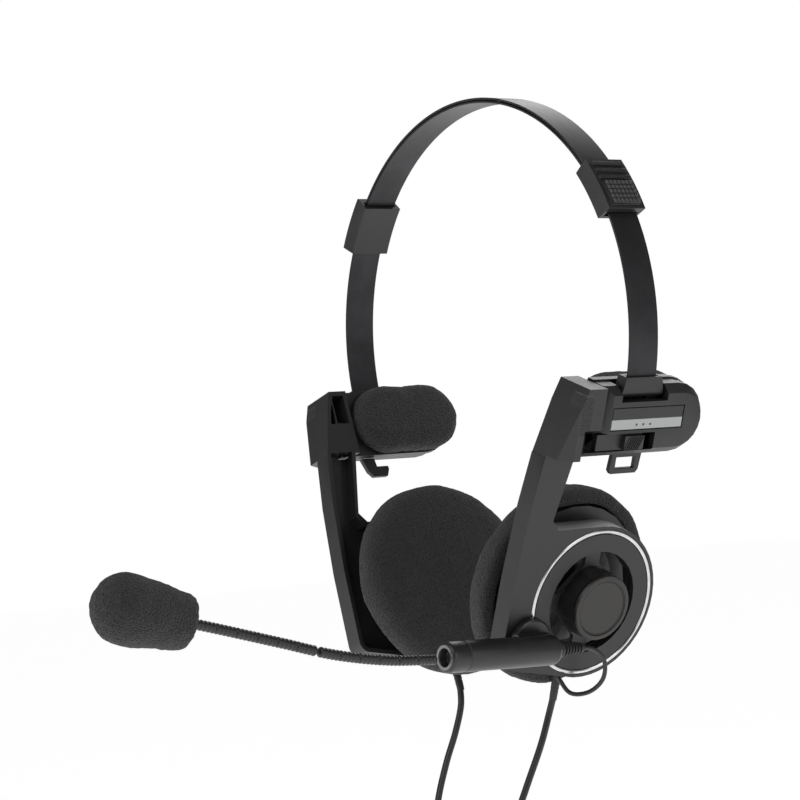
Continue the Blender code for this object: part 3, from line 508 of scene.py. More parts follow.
class Workshop:
    """Makes, dresses and mounts pieces."""

    def __init__(self) -> None:
        """Start with an empty rack of materials."""
        self.rack: dict = {}
        self.count = 0

    def material(self, finish: object) -> bpy.types.Material:
        """Return the material of a finish, made once."""
        if finish not in self.rack:
            self.rack[finish] = finish.make()
        return self.rack[finish]

    def mount(self, piece: bpy.types.Object, body: str, slot: str, finish: object,
              stands_for: Iterable[str] = ()) -> bpy.types.Object:
        """Dress a piece, fix it to a body and hide the nodes that it stands for.

        Args:
            piece: the piece, in place.
            body: the body that carries it.
            slot: not used.
            finish: its finish.
            stands_for: the nodes that it replaces.

        Returns:
            The piece.
        """
        piece.data.materials.clear()
        piece.data.materials.append(self.material(finish))
        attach(piece, body)
        for node in stands_for:
            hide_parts(node)
        self.count += 1
        log.info("%s rides on %s", piece.name, body)
        return piece

    def dress(self, node: str, finish: object) -> None:
        """Give a carried-over node its finish."""
        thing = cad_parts[node]
        thing.data.materials.clear()
        thing.data.materials.append(self.material(finish))

    def mesh(self, name: str, bm: bmesh.types.BMesh, angle: float = 35.0) -> bpy.types.Object:
        """Turn a bmesh in metres into a shaded object."""
        bmesh.ops.recalc_face_normals(bm, faces=bm.faces)
        data = bpy.data.meshes.new(name)
        bm.to_mesh(data)
        bm.free()
        data.shade_smooth()
        data.set_sharp_from_angle(angle=math.radians(angle))
        thing = bpy.data.objects.new(name, data)
        bpy.context.scene.collection.objects.link(thing)
        return thing

    def moulded(self, node: str, body: str, slot: str, finish: object,
                edge: float = 0.25) -> bpy.types.Object:
        """A copy of a node with softened edges, in the node's place.

        Args:
            node: the node to copy.
            body: the body that carries it.
            slot: not used.
            finish: its finish.
            edge: width of the softened edges, in millimetres.

        Returns:
            The new piece.
        """
        bm = bmesh.new()
        bm.from_mesh(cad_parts[node].data)
        bmesh.ops.remove_doubles(bm, verts=bm.verts, dist=1e-6)
        bmesh.ops.dissolve_limit(bm, angle_limit=math.radians(1.5), verts=bm.verts, edges=bm.edges)
        piece = self.mesh(node + "_moulded", bm)
        bevel = piece.modifiers.new("edges", "BEVEL")
        bevel.width = edge * MM
        bevel.segments = 2
        bevel.limit_method = "ANGLE"
        bevel.angle_limit = math.radians(32)
        bevel.harden_normals = True
        return self.mount(piece, body, slot, finish, [node])

    def turned(self, name: str, profile: Sequence, steps: int, origin: Vector, way: Vector,
               closed: bool = False, ripple: Optional[Callable] = None) -> bpy.types.Object:
        """Turn a profile about an axis.

        Args:
            name: the new object's name.
            profile: (along, radius) points in millimetres.
            steps: sides of each ring.
            origin: a point on the axis, in metres.
            way: the axis.
            closed: the profile is the section of a ring.
            ripple: moves a point of the surface.

        Returns:
            The new object.
        """
        turn = way.to_track_quat("Z", "Y").to_matrix()
        bm = bmesh.new()
        rings = []
        for along, radius in profile:
            ring = []
            for k in range(1 if radius == 0 else steps):
                a = 2 * math.pi * k / steps
                spot = turn @ Vector((radius * math.cos(a), radius * math.sin(a), along))
                point = origin + spot * MM
                if ripple:
                    point = ripple(point)
                ring.append(bm.verts.new(point))
            rings.append(ring)
        for one, two in zip(rings, rings[1:] + ([rings[0]] if closed else [])):
            for k in range(steps):
                corners = [one[k % len(one)], one[(k + 1) % len(one)]]
                corners += [two[(k + 1) % len(two)], two[k % len(two)]]
                bm.faces.new(list(dict.fromkeys(corners)))
        return self.mesh(name, bm)

    def cord(self, name: str, route: Sequence[Vector], radius: float) -> bpy.types.Object:
        """A round cord as a curve of one open spline; the route is in metres."""
        curve = bpy.data.curves.new(name, "CURVE")
        curve.dimensions = "3D"
        curve.bevel_depth = radius * MM
        curve.bevel_resolution = 5
        curve.use_fill_caps = True
        line = curve.splines.new("POLY")
        line.points.add(len(route) - 1)
        for spot, point in zip(route, line.points):
            point.co = (*spot, 1.0)
        line.use_smooth = True
        thing = bpy.data.objects.new(name, curve)
        bpy.context.scene.collection.objects.link(thing)
        return thing


def rounded(points: Sequence, radius: float, steps: int = 3) -> list:
    """Round the corners of an open or closed run of (along, radius) points.

    Args:
        points: the run; its first and last points stay.
        radius: how far from each corner the rounding starts, in millimetres.
        steps: pieces of each rounding.

    Returns:
        The rounded run.
    """
    out = [points[0]]
    for a, b, c in zip(points, points[1:], points[2:]):
        pa, pb, pc = (Vector((p[0], p[1], 0.0)) for p in (a, b, c))
        cut = min(radius, (pa - pb).length * 0.45, (pc - pb).length * 0.45)
        if cut <= 1e-4 or b[1] == 0:
            out.append(b)
            continue
        start, end = pb + (pa - pb).normalized() * cut, pb + (pc - pb).normalized() * cut
        for k in range(steps + 1):
            t = k / steps
            spot = start * (1 - t) ** 2 + pb * 2 * t * (1 - t) + end * t**2
            out.append((spot.x, spot.y))
    out.append(points[-1])
    return out


def finer(points: Sequence, step: float) -> list:
    """Add points so that no stretch of a run is longer than step."""
    out = [points[0]]
    for a, b in zip(points, points[1:]):
        count = max(1, math.ceil(math.dist(a, b) / step))
        out += [tuple(p + (q - p) * k / count for p, q in zip(a, b)) for k in range(1, count + 1)]
    return out


def smooth_route(points: Sequence, spacing: float) -> list:
    """Evenly spaced points on a centripetal curve through a route, in millimetres."""
    pts = [Vector(p) for p in points]
    pts = [2 * pts[0] - pts[1]] + pts + [2 * pts[-1] - pts[-2]]
    fine = []
    for p0, p1, p2, p3 in zip(pts, pts[1:], pts[2:], pts[3:]):
        t1 = math.sqrt((p1 - p0).length)
        t2 = t1 + math.sqrt((p2 - p1).length)
        t3 = t2 + math.sqrt((p3 - p2).length)
        for k in range(24):
            t = t1 + (t2 - t1) * k / 24
            a1, a2 = p0.lerp(p1, t / t1), p1.lerp(p2, (t - t1) / (t2 - t1))
            a3 = p2.lerp(p3, (t - t2) / (t3 - t2))
            b1, b2 = a1.lerp(a2, t / t2), a2.lerp(a3, (t - t1) / (t3 - t1))
            fine.append(b1.lerp(b2, (t - t1) / (t2 - t1)))
    fine.append(pts[-2])
    length = sum((b - a).length for a, b in zip(fine, fine[1:]))
    count = max(2, round(length / spacing))
    out, run, goal = [fine[0]], 0.0, length / count
    for a, b in zip(fine, fine[1:]):
        step = (b - a).length
        while step and run + step >= goal - 1e-9 and len(out) < count:
            out.append(a.lerp(b, (goal - run) / step))
            goal += length / count
        run += step
    return out + [fine[-1]]


def skin(bm: bmesh.types.BMesh, rings: Sequence) -> None:
    """Join rings of vertices into a tube with closed ends."""
    for one, two in zip(rings, rings[1:]):
        for k in range(len(one)):
            n = (k + 1) % len(one)
            bm.faces.new((one[k], one[n], two[n], two[k]))
    bm.faces.new(rings[0])
    bm.faces.new(rings[-1])


def torn(*waves: Sequence[float]) -> Callable:
    """A ripple for the uneven skin of cut foam.

    Args:
        waves: (size, height) of each layer of seeded noise, in millimetres, in turn.

    Returns:
        A function that shifts one point.
    """

    def move(point: Vector) -> Vector:
        """Shift one point."""
        for size, height in waves:
            point = point + noise.noise_vector(point / (size * MM)) * height * MM
        return point

    return move


# ------------------------------------------------------------------ sub-assemblies


@dataclass
class Headband:
    """The two sprung strips, their clamps and brackets."""

    shop: Workshop
    outer_r: float = 66.0
    inner_r: float = 65.1
    thick: float = 0.6
    width: float = 10.0
    clamp_angle: float = 57.9
    clamp_length: float = 16.0
    end: float = 104.6
    knurl_rows: int = 5
    knurl_across: int = 7

    def build(self) -> None:
        """Make both strips and dress what they carry."""
        for side, radius in ((Side.LEFT, self.outer_r), (Side.RIGHT, self.inner_r)):
            self.strip(side, radius)
            body = side.word + "_band_body"
            self.shop.moulded(side.word + "_clamp", body, "black_plastic", MouldedPlastic(), 0.3)
            self.shop.moulded(side.word + "_bracket", body, "black_plastic", MouldedPlastic(), 0.3)
            self.knurl(side)

    def strip(self, side: Side, radius: float) -> None:
        """One strip with broken edges."""
        half, t, c = self.width / 2, self.thick, 0.14
        section = [(radius, half - c), (radius - c, half), (radius - t + c, half)]
        section += [(radius - t, half - c), (radius - t, c - half), (radius - t + c, -half)]
        section += [(radius - c, -half), (radius, c - half)]
        steps, bm, rows = 150, bmesh.new(), []
        first = -self.clamp_angle - STRIP_PAST_CLAMP
        for k in range(steps + 1):
            a = math.radians(first + (self.end - first) * k / steps)
            row = []
            for r, y in section:
                spot = in_band((side.value * r * math.sin(a), y, r * math.cos(a)))
                row.append(bm.verts.new(spot))
            rows.append(row)
        skin(bm, rows)
        strip = self.shop.mesh(side.word + "_spring_strip", bm, 30.0)
        self.shop.mount(strip, side.word + "_band_body", "blued_steel", SpringSteel(),
                        [side.word + "_band"])

    def knurl(self, side: Side) -> None:
        """Rows of small pyramids on the clamp's grip block."""
        half = math.degrees(self.clamp_length / 2 / self.outer_r)
        rib = half / 7
        start, end = -self.clamp_angle - half + rib, -self.clamp_angle - half + half
        top = self.outer_r + 2.4 + 1.0
        wide = 12.8 / 2 - 1.6
        bm = bmesh.new()
        rows, across = self.knurl_rows, self.knurl_across
        for i in range(rows):
            for j in range(across):
                low = start + (end - start) * (i + 0.06) / rows
                high = start + (end - start) * (i + 0.94) / rows
                y0 = -wide + 2 * wide * (j + 0.06) / across
                y1 = -wide + 2 * wide * (j + 0.94) / across
                corners = []
                for level, inset in ((top - 0.06, 0.0), (top + 0.38, 0.36)):
                    for u, v in ((0, 0), (1, 0), (1, 1), (0, 1)):
                        a = low + (high - low) * (inset + (1 - 2 * inset) * u)
                        y = y0 + (y1 - y0) * (inset + (1 - 2 * inset) * v)
                        a = math.radians(a)
                        spot = (side.value * level * math.sin(a), y, level * math.cos(a))
                        corners.append(bm.verts.new(in_band(spot)))
                bm.faces.new(corners[4:])
                bm.faces.new(corners[:4])
                for k in range(4):
                    n = (k + 1) % 4
                    bm.faces.new((corners[k], corners[n], corners[4 + n], corners[4 + k]))
        knurl = self.shop.mesh(side.word + "_grip_knurl", bm, 20.0)
        self.shop.mount(knurl, side.word + "_band_body", "black_plastic", MouldedPlastic())


@dataclass
class TempleUnit:
    """Cover, base, foam pad, plate, slider and latch of one side."""

    shop: Workshop
    side: Side
    face_x: float = 3.4
    mid_z: float = -8.0
    pad_face: float = -6.2
    pad_height: float = 19.6
    pad_front: float = -12.0
    pad_rear: float = 23.4
    knob_y: tuple = (-5.2, 1.4)
    slot_z: tuple = (-16.0, -11.0)

    def build(self) -> None:
        """Dress the unit."""
        word, body = self.side.word, self.side.word + "_temple"
        place = TempleFrame(self.side)
        plastic = MouldedPlastic()
        self.shop.moulded(word + "_temple_cover", body, "black_plastic", plastic, 0.3)
        self.shop.moulded(word + "_temple_base", body, "black_plastic", plastic, 0.2)
        self.shop.dress(word + "_temple_pin", DARK_STEEL)
        self.shop.dress(word + "_temple_screw", DARK_STEEL)
        self.shop.dress(word + "_temple_plate", PrintedPlate(word + "_printed_plate", place))
        latch = "left_latch_loop" if self.side is Side.LEFT else "right_latch_hook"
        self.shop.moulded(latch, body, "black_plastic", plastic, 0.2)
        self.shop.moulded(word + "_comfort_slider", word + "_slider", "black_plastic", plastic, 0.15)
        self.hatch(place)
        self.pad(place)

    def hatch(self, place: TempleFrame) -> None:
        """Diagonal ribs across the slider's knob."""
        low, high = self.slot_z[0] + 0.7, self.slot_z[1] - 0.7
        bm = bmesh.new()
        count = 7
        span = self.knob_y[1] - self.knob_y[0] - 0.6
        lean = 1.6
        for k in range(count):
            y = self.knob_y[0] + 0.3 + (span - lean) * k / (count - 1)
            corners = []
            for x, w in ((self.face_x + 0.44, 0.24), (self.face_x + 0.78, 0.09)):
                for z, shift in ((low, 0.0), (high, lean)):
                    corners.append(bm.verts.new(place.at((x, y + shift - w, z))))
                    corners.append(bm.verts.new(place.at((x, y + shift + w, z))))
            b, t = corners[:4], corners[4:]
            bm.faces.new((b[0], b[1], b[3], b[2]))
            bm.faces.new((t[0], t[1], t[3], t[2]))
            for one, two in ((0, 1), (1, 3), (3, 2), (2, 0)):
                bm.faces.new((b[one], b[two], t[two], t[one]))
        ribs = self.shop.mesh(self.side.word + "_knob_ribs", bm, 20.0)
        self.shop.mount(ribs, self.side.word + "_slider", "black_plastic", MouldedPlastic())

    def pad(self, place: TempleFrame) -> None:
        """Foam pad with softened edges, its skin torn like cut foam."""
        radius, bm = self.pad_height / 2, bmesh.new()
        levels = [(0.0, 0.5), (0.25, 0.12), (1.2, 0.0), (3.0, -0.1), (4.6, 0.0), (5.8, 0.5)]
        levels += [(6.7, 1.3), (7.4, 2.3), (7.8, 3.4), (7.95, 4.8), (8.0, 6.4), (8.0, 8.2)]
        ripple = torn((1.5, 0.16), (7.0, 0.35))
        rings = []
        for depth, inset in levels:
            ring = []
            r = radius - inset
            rear, front = self.pad_rear - radius, self.pad_front + radius
            for k in range(40):
                a = math.radians(-90 + 180 * k / 39)
                ring.append((rear + r * math.cos(a), self.mid_z + r * math.sin(a)))
            ring += [(rear + (front - rear) * k / 24, self.mid_z + r) for k in range(1, 24)]
            for k in range(40):
                a = math.radians(90 + 180 * k / 39)
                ring.append((front + r * math.cos(a), self.mid_z + r * math.sin(a)))
            ring += [(front + (rear - front) * k / 24, self.mid_z - r) for k in range(1, 24)]
            verts = []
            for y, z in ring:
                spot = place.at((self.pad_face - depth, y, z))
                verts.append(bm.verts.new(ripple(spot) if depth > 0 else spot))
            rings.append(verts)
        skin(bm, rings)
        pad = self.shop.mesh(self.side.word + "_temple_foam", bm, 60.0)
        word = self.side.word
        self.shop.mount(pad, word + "_temple", "black_foam", OpenCellFoam("temple_foam"),
                        [word + "_temple_pad"])


@dataclass
class EarArm:
    """The moulded arm with its bright ring, hub and cap."""

    shop: Workshop
    side: Side
    ring_y: float = -1.0
    ring_z: float = -61.2
    face: float = ARM_FACE
    stripe_r: float = 20.25
    stripe_w: float = 1.0
    cap_r: float = 9.3
    cap_front: float = 1.6

    def build(self) -> None:
        """Dress the arm and make its ring and cap."""
        word, body = self.side.word, self.side.word + "_arm_body"
        place = TempleFrame(self.side)
        centre = place.at((0.0, self.ring_y, self.ring_z))
        self.shop.moulded(word + "_arm", body, "black_plastic",
                          StippledPanel(word + "_arm_plastic", place), 0.35)
        self.shop.dress(word + "_arm_pin", DARK_STEEL)
        low, high = self.stripe_r - self.stripe_w / 2, self.stripe_r + self.stripe_w / 2
        section = [(self.face - 0.4, low), (self.face, low), (self.face + 0.2, low + 0.25)]
        section += [(self.face + 0.2, high - 0.25), (self.face, high), (self.face - 0.4, high)]
        ring = self.shop.turned(word + "_bright_ring", section, 120, centre, place.outward, True)
        self.shop.mount(ring, body, "bright_metal", BrightMetal(), [word + "_trim_ring"])
        self.shop.moulded(word + "_hub", body, "black_plastic", MouldedPlastic(), 0.2)
        back = 0.5
        front, r = self.cap_front, self.cap_r
        profile = [(back, 0), (back, r)]
        profile += [(front - 0.5, r), (front - 0.1, r - 0.25), (front, r - 0.7)]
        profile += [(front, r - 1.3), (front - 0.25, r - 1.55), (front - 0.25, 4.0), (front - 0.25, 0)]
        cap = self.shop.turned(word + "_cap_disc", profile, 72, centre, place.outward)
        self.shop.mount(cap, body, "black_plastic", RimmedCap(word + "_cap_face", place),
                        [word + "_cap"])


@dataclass
class EarCapsule:
    """Ball, driver housing, driver, grille, foam ear pad and cord gland."""

    shop: Workshop
    side: Side
    pad_r: float = 28.6
    pad_back: float = -14.4
    pad_front: float = -24.4
    housing_r: float = 24.0
    hollow: float = -19.7
    gland_x: float = -12.3

    def build(self) -> None:
        """Dress the capsule."""
        word, body = self.side.word, self.side.word + "_capsule"
        place = TempleFrame(self.side)
        self.shop.dress(word + "_ball", MouldedPlastic())
        self.shop.dress(word + "_driver", BrightMetal())
        self.shop.dress(word + "_grille", PerforatedPlate())
        self.shop.dress(word + "_driver_housing", MouldedPlastic("housing_black"))
        self.pad(place, body)
        self.gland(place, body)

    def pad(self, place: TempleFrame, body: str) -> None:
        """Foam ear pad with a full round edge and a torn, uneven skin."""
        centre = place.at((0.0, EarArm.ring_y, EarArm.ring_z))
        lip, back, front, r = self.housing_r + 0.3, self.pad_back, self.pad_front, self.pad_r
        outer = [(front, 0), (front - 0.1, r - 9.0), (front + 0.3, r - 5.4), (front + 1.5, r - 2.2)]
        outer += [(front + 3.6, r - 0.5), (front + 6.0, r), (back - 1.6, r - 0.1)]
        outer += [(back - 0.4, r - 0.9), (back, r - 2.4), (back, lip), (self.hollow, lip)]
        outer += [(self.hollow, 0)]
        run = finer(rounded(outer, 1.4), 0.9)
        ripple = torn((1.3, 0.17), (8.0, 0.45))
        pad = self.shop.turned(self.side.word + "_ear_foam", run, 150, centre, place.outward,
                               ripple=ripple)
        self.shop.mount(pad, body, "black_foam", OpenCellFoam("ear_foam", 0.55),
                        [self.side.word + "_ear_pad"])

    def gland(self, place: TempleFrame, body: str) -> None:
        """Ribbed strain relief where the cord leaves the housing."""
        at = place.at((self.gland_x, EarArm.ring_y, EarArm.ring_z))
        profile = [(18.6, 0), (18.6, 1.4), (24.0, 1.35)]
        for k in range(5):
            z = 24.6 + k * 1.1
            profile += [(z, 1.3 - k * 0.04), (z + 0.1, 1.02)]
            profile += [(z + 0.35, 1.02), (z + 0.45, 1.28 - k * 0.04)]
        profile += [(30.4, 1.1), (32.2, 1.04), (32.2, 0)]
        sleeve = self.shop.turned(self.side.word + "_ribbed_relief", profile, 32, at, -place.up)
        self.shop.mount(sleeve, body, "black_rubber", CordJacket("gland_rubber", rough=0.5))
        self.shop.dress(self.side.word + "_gland", CordJacket("gland_rubber", rough=0.5))


@dataclass
class BoomMicrophone:
    """Swivel bracket, tube, strain relief, ribbed gooseneck and foam windscreen."""

    shop: Workshop
    boom_y: float = -22.0
    boom_z: float = -69.8
    boom_tilt: float = math.radians(-2.6)
    boom_x: float = 3.2
    tube_r: float = 4.1
    tube_front: float = -32.2
    tube_rear: float = 5.0
    drop: float = -0.8
    neck_r: float = 1.4
    rib_pitch: float = 1.15
    screen_r: float = 8.9
    screen_l: float = 26.0
    route: tuple = (
        (42.6, -55.6, -85.9), (41.6, -71.0, -84.6), (40.2, -86.0, -81.8),
        (38.8, -101.0, -77.4), (37.4, -116.0, -73.0), (36.6, -124.4, -70.6),
    )

    def build(self) -> None:
        """Make the boom from its pivot to the windscreen."""
        place = TempleFrame(Side.LEFT)
        plastic = MouldedPlastic("boom_black", rough=0.34)
        self.shop.moulded("boom_bracket", "boom", "black_plastic", plastic, 0.25)
        way = self.axis(place)
        origin = self.spot(place, self.boom_x - ARM_FACE, 0.0, self.drop)
        front, rear, r = self.tube_front, self.tube_rear, self.tube_r
        profile = [(rear, 0), (rear, r - 1.1), (rear - 0.5, r - 0.45), (rear - 1.4, r)]
        profile += [(front + 6.2, r), (front + 6.0, r - 0.16), (front + 5.7, r - 0.16)]
        profile += [(front + 5.5, r), (front + 0.8, r), (front + 0.2, r - 0.22)]
        profile += [(front, r - 0.7), (front, self.neck_r + 1.0), (front + 2.2, self.neck_r + 0.5)]
        profile += [(front + 2.2, 0)]
        tube = self.shop.turned("boom_barrel", rounded(profile, 0.2), 64, origin, way)
        self.shop.mount(tube, "boom", "black_plastic", plastic, ["boom_tube"])
        rim = [(front - 0.12, self.neck_r + 1.15), (front - 0.12, r - 0.85), (front + 0.2, r - 0.8)]
        rim += [(front + 0.2, self.neck_r + 1.15)]
        bright = self.shop.turned("boom_rim", rim, 64, origin, way, True)
        nickel = BrightMetal("rim_nickel", (0.3, 0.3, 0.31), 0.3)
        self.shop.mount(bright, "boom", "bright_metal", nickel)
        self.relief(origin, way)
        self.gooseneck()
        self.windscreen()
        self.shop.dress("mic_capsule", plastic)

    def spot(self, place: TempleFrame, out: float, along: float, up: float) -> Vector:
        """A point of the boom's frame: out from the arm's face, along the tube and up."""
        y = along * math.cos(self.boom_tilt) - up * math.sin(self.boom_tilt)
        z = along * math.sin(self.boom_tilt) + up * math.cos(self.boom_tilt)
        return place.at((ARM_FACE + out, self.boom_y + y, self.boom_z + z))

    def axis(self, place: TempleFrame) -> Vector:
        """Direction of the tube, towards its rear."""
        return (self.spot(place, 0, 1, 0) - self.spot(place, 0, 0, 0)).normalized()

    def relief(self, origin: Vector, way: Vector) -> None:
        """Grooved strain relief at the tube's rear."""
        rear = self.tube_rear
        profile = [(rear + 0.3, 0), (rear + 0.3, 2.4), (rear + 1.4, 2.4)]
        for k in range(6):
            z, r = rear + 1.9 + k * 1.15, 2.25 - 0.14 * k
            profile += [(z, r), (z + 0.1, r - 0.5), (z + 0.5, r - 0.5), (z + 0.6, r - 0.03)]
        profile += [(rear + 9.6, 1.15), (rear + 9.6, 0)]
        piece = self.shop.turned("boom_relief", profile, 36, origin, way)
        self.shop.mount(piece, "boom", "black_rubber", CordJacket("relief_rubber", rough=0.5),
                        ["boom_strain_relief"])

    def gooseneck(self) -> None:
        """Two lengths of coil-wound gooseneck, as ribbed tubes."""
        fine = smooth_route(self.route, 0.25)
        share, skip = len(fine) // 2, 4
        names = (("gooseneck_1", "gooseneck"), ("gooseneck_2", "microphone"))
        for k, (node, body) in enumerate(names):
            start = k * share + skip
            end = (k + 1) * share if k == 0 else len(fine) - 1
            spots = fine[start:end] + [fine[end]]
            bm = bmesh.new()
            rings, sides = [], 20
            for i, spot in enumerate(spots):
                nearby = spots[min(i + 1, len(spots) - 1)] - spots[max(i - 1, 0)]
                turn = nearby.to_track_quat("Z", "Y").to_matrix()
                beat = abs(math.sin(math.pi * i * 0.25 / self.rib_pitch))
                radius = self.neck_r * (0.80 + 0.20 * beat**0.6)
                ring = []
                for j in range(sides):
                    a = 2 * math.pi * j / sides
                    offset = turn @ Vector((radius * math.cos(a), radius * math.sin(a), 0.0))
                    ring.append(bm.verts.new(in_band(spot + offset)))
                rings.append(ring)
            skin(bm, rings)
            neck = self.shop.mesh(node + "_coils", bm, 70.0)
            self.shop.mount(neck, body, "black_rubber", CordJacket("gooseneck_black", rough=0.3),
                            [node])
        self.tip = fine[-1]
        self.way = (fine[-1] - fine[-6]).normalized()

    def windscreen(self) -> None:
        """Egg-shaped foam windscreen with a torn skin and a flat rear end."""
        r, length = self.screen_r, self.screen_l
        centre = length + 1.6 - r - 0.4
        profile = [(2.6, 3.7), (1.6, 4.1), (1.6, 5.6), (1.9, 6.4), (2.8, 6.9), (6.0, 7.4)]
        profile += [(10.0, 8.0), (13.5, 8.5), (centre - 1.6, r)]
        for k in range(1, 12):
            a = math.radians(7.5 * k)
            profile.append((centre + r * math.sin(a), r * math.cos(a)))
        profile += [(centre + r, 0)]
        inner = [(15.6, 0), (15.6, 3.7), (9.0, 3.7)]
        run = finer(rounded(inner + profile, 0.5), 0.9)
        ripple = torn((1.2, 0.18), (6.0, 0.4))
        screen = self.shop.turned("mic_foam", run, 96, in_band(self.tip), self.way, ripple=ripple)
        self.shop.mount(screen, "microphone", "black_foam", OpenCellFoam("screen_foam", 0.55),
                        ["mic_windscreen"])


@dataclass
class Cords:
    """Branch cords, splitter, hank, plug and the microphone's lead."""

    shop: Workshop
    branch_r: float = 0.95
    main_r: float = 1.2
    lead_r: float = 0.62
    hank_y: float = -24.0
    hank_z: float = -227.0
    half: float = 24.0
    loop: float = 6.0
    waist: float = 1.65
    turns: float = 7.5
    split_top: float = -166.0
    split_h: float = 15.0
    plug_y: float = -41.0
    plug_z: float = -240.0
    branch: tuple = (
        (21.4, -1.0, -102.7), (20.2, -1.9, -107.6), (19.8, -4.6, -115.0), (19.4, -9.0, -124.0),
        (17.8, -14.0, -135.0), (12.0, -19.4, -146.0), (4.6, -23.2, -156.0),
    )
    lead: tuple = (
        (42.8, -7.1, -87.6), (42.6, -3.4, -88.4), (42.2, 0.4, -91.6), (40.2, 1.4, -97.0),
        (36.4, -0.6, -100.6), (32.6, -4.0, -100.8), (30.2, -6.2, -96.4),
    )

    def build(self) -> None:
        """Make every cord and what is on it."""
        splitter = self.splitter()
        for side in Side:
            self.branch_cord(side)
        plug = self.plug()
        self.shop.moulded("cord_tie", "right_band_body", "black_plastic", MouldedPlastic(), 0.2)
        self.main_cord(plug)
        route = [in_band(p) for p in smooth_route(self.lead, 0.9)]
        lead = self.shop.cord("mic_lead_run", route, self.lead_r)
        self.shop.mount(lead, "left_arm_body", "black_rubber", CordJacket("lead_black"), ["mic_lead"])
        self.length(route)

    def length(self, route: Sequence[Vector]) -> float:
        """Length of a route in metres."""
        return sum((b - a).length for a, b in zip(route, route[1:]))

    def branch_cord(self, side: Side) -> None:
        """The cord from one ear capsule down to the splitter."""
        end = (self.branch_r + 0.3, self.hank_y, self.split_top + 0.3)
        points = smooth_route(list(self.branch) + [end], 1.6)
        route = [in_band((side.value * p.x, p.y, p.z)) for p in points]
        piece = self.shop.cord(side.word + "_cord_run", route, self.branch_r)
        self.shop.mount(piece, side.word + "_capsule", "black_rubber", CordJacket(),
                        [side.word + "_cord"])
        self.length(route)

    def splitter(self) -> bpy.types.Object:
        """Moulded Y-splitter with grip rings."""
        low, high = self.split_top - self.split_h, self.split_top
        wide, slim = 2 * self.branch_r + 1.2, self.main_r + 0.6
        profile = [(low, 0), (low, slim)]
        for k in range(4):
            z, r = low + 0.8 + k * 1.1, slim + (wide - slim) * (0.8 + k * 1.1) / 5.0
            profile += [(z, r), (z + 0.15, r - 0.35), (z + 0.5, r - 0.3), (z + 0.65, r + 0.08)]
        profile += [(low + 5.6, wide), (high - 1.0, wide), (high - 0.3, wide - 0.3)]
        profile += [(high, wide - 0.8), (high, 0)]
        piece = self.shop.turned("cord_y_splitter", profile, 40, in_band((0, self.hank_y, 0)),
                                 STRAIGHT_UP)
        return self.shop.mount(piece, "right_band_body", "black_rubber",
                               CordJacket("splitter_rubber", rough=0.45), ["cord_splitter"])

    def plug(self) -> list:
        """Straight jack plug: moulded grip and banded pin."""
        at, up = in_band((0, self.plug_y, 0)), STRAIGHT_UP
        z = self.plug_z
        grip = [(z, 0), (z, 1.55), (z + 0.6, 1.7)]
        for k in range(4):
            grip += [(z + 1.4 + k * 1.1, 1.8 + 0.08 * k), (z + 1.5 + k * 1.1, 1.5 + 0.08 * k)]
            grip += [(z + 1.9 + k * 1.1, 1.5 + 0.08 * k), (z + 2.0 + k * 1.1, 1.85 + 0.08 * k)]
        grip += [(z + 6.2, 2.3), (z + 6.6, 3.4), (z + 7.2, 3.6)]
        for k in range(7):
            y = z + 9.0 + 1.4 * k
            grip += [(y, 3.6), (y + 0.15, 3.38), (y + 0.5, 3.38), (y + 0.65, 3.6)]
        grip += [(z + 19.6, 3.6), (z + 20.0, 3.4), (z + 20.0, 0)]
        sleeve = self.shop.turned("plug_grip", grip, 48, at, up)
        self.shop.mount(sleeve, "right_band_body", "black_rubber",
                        CordJacket("plug_rubber", rough=0.42), ["plug"])
        base = z + 21
        pin = [(z + 20.0, 0), (z + 20.0, 2.9), (base - 0.2, 2.9), (base, 2.7), (base, 1.75)]
        pin += [(base + 11, 1.75), (base + 11.8, 1.2), (base + 12.4, 1.45), (base + 13.0, 1.5)]
        pin += [(base + 13.7, 0.9), (base + 14, 0.4), (base + 14, 0)]
        metal = self.shop.turned("plug_pin", rounded(pin, 0.12), 48, at, up)
        self.shop.mount(metal, "right_band_body", "bright_metal", BrightMetal("plug_nickel"))
        pieces = [sleeve, metal]
        for k, height in enumerate((base + 5.2, base + 8.2, base + 10.6)):
            band = [(height, 1.6), (height, 1.79), (height + 0.7, 1.79), (height + 0.7, 1.6)]
            ring = self.shop.turned(f"plug_band_{k + 1}", band, 48, at, up, True)
            self.shop.mount(ring, "right_band_body", "black_plastic", MouldedPlastic())
            pieces.append(ring)
        return pieces

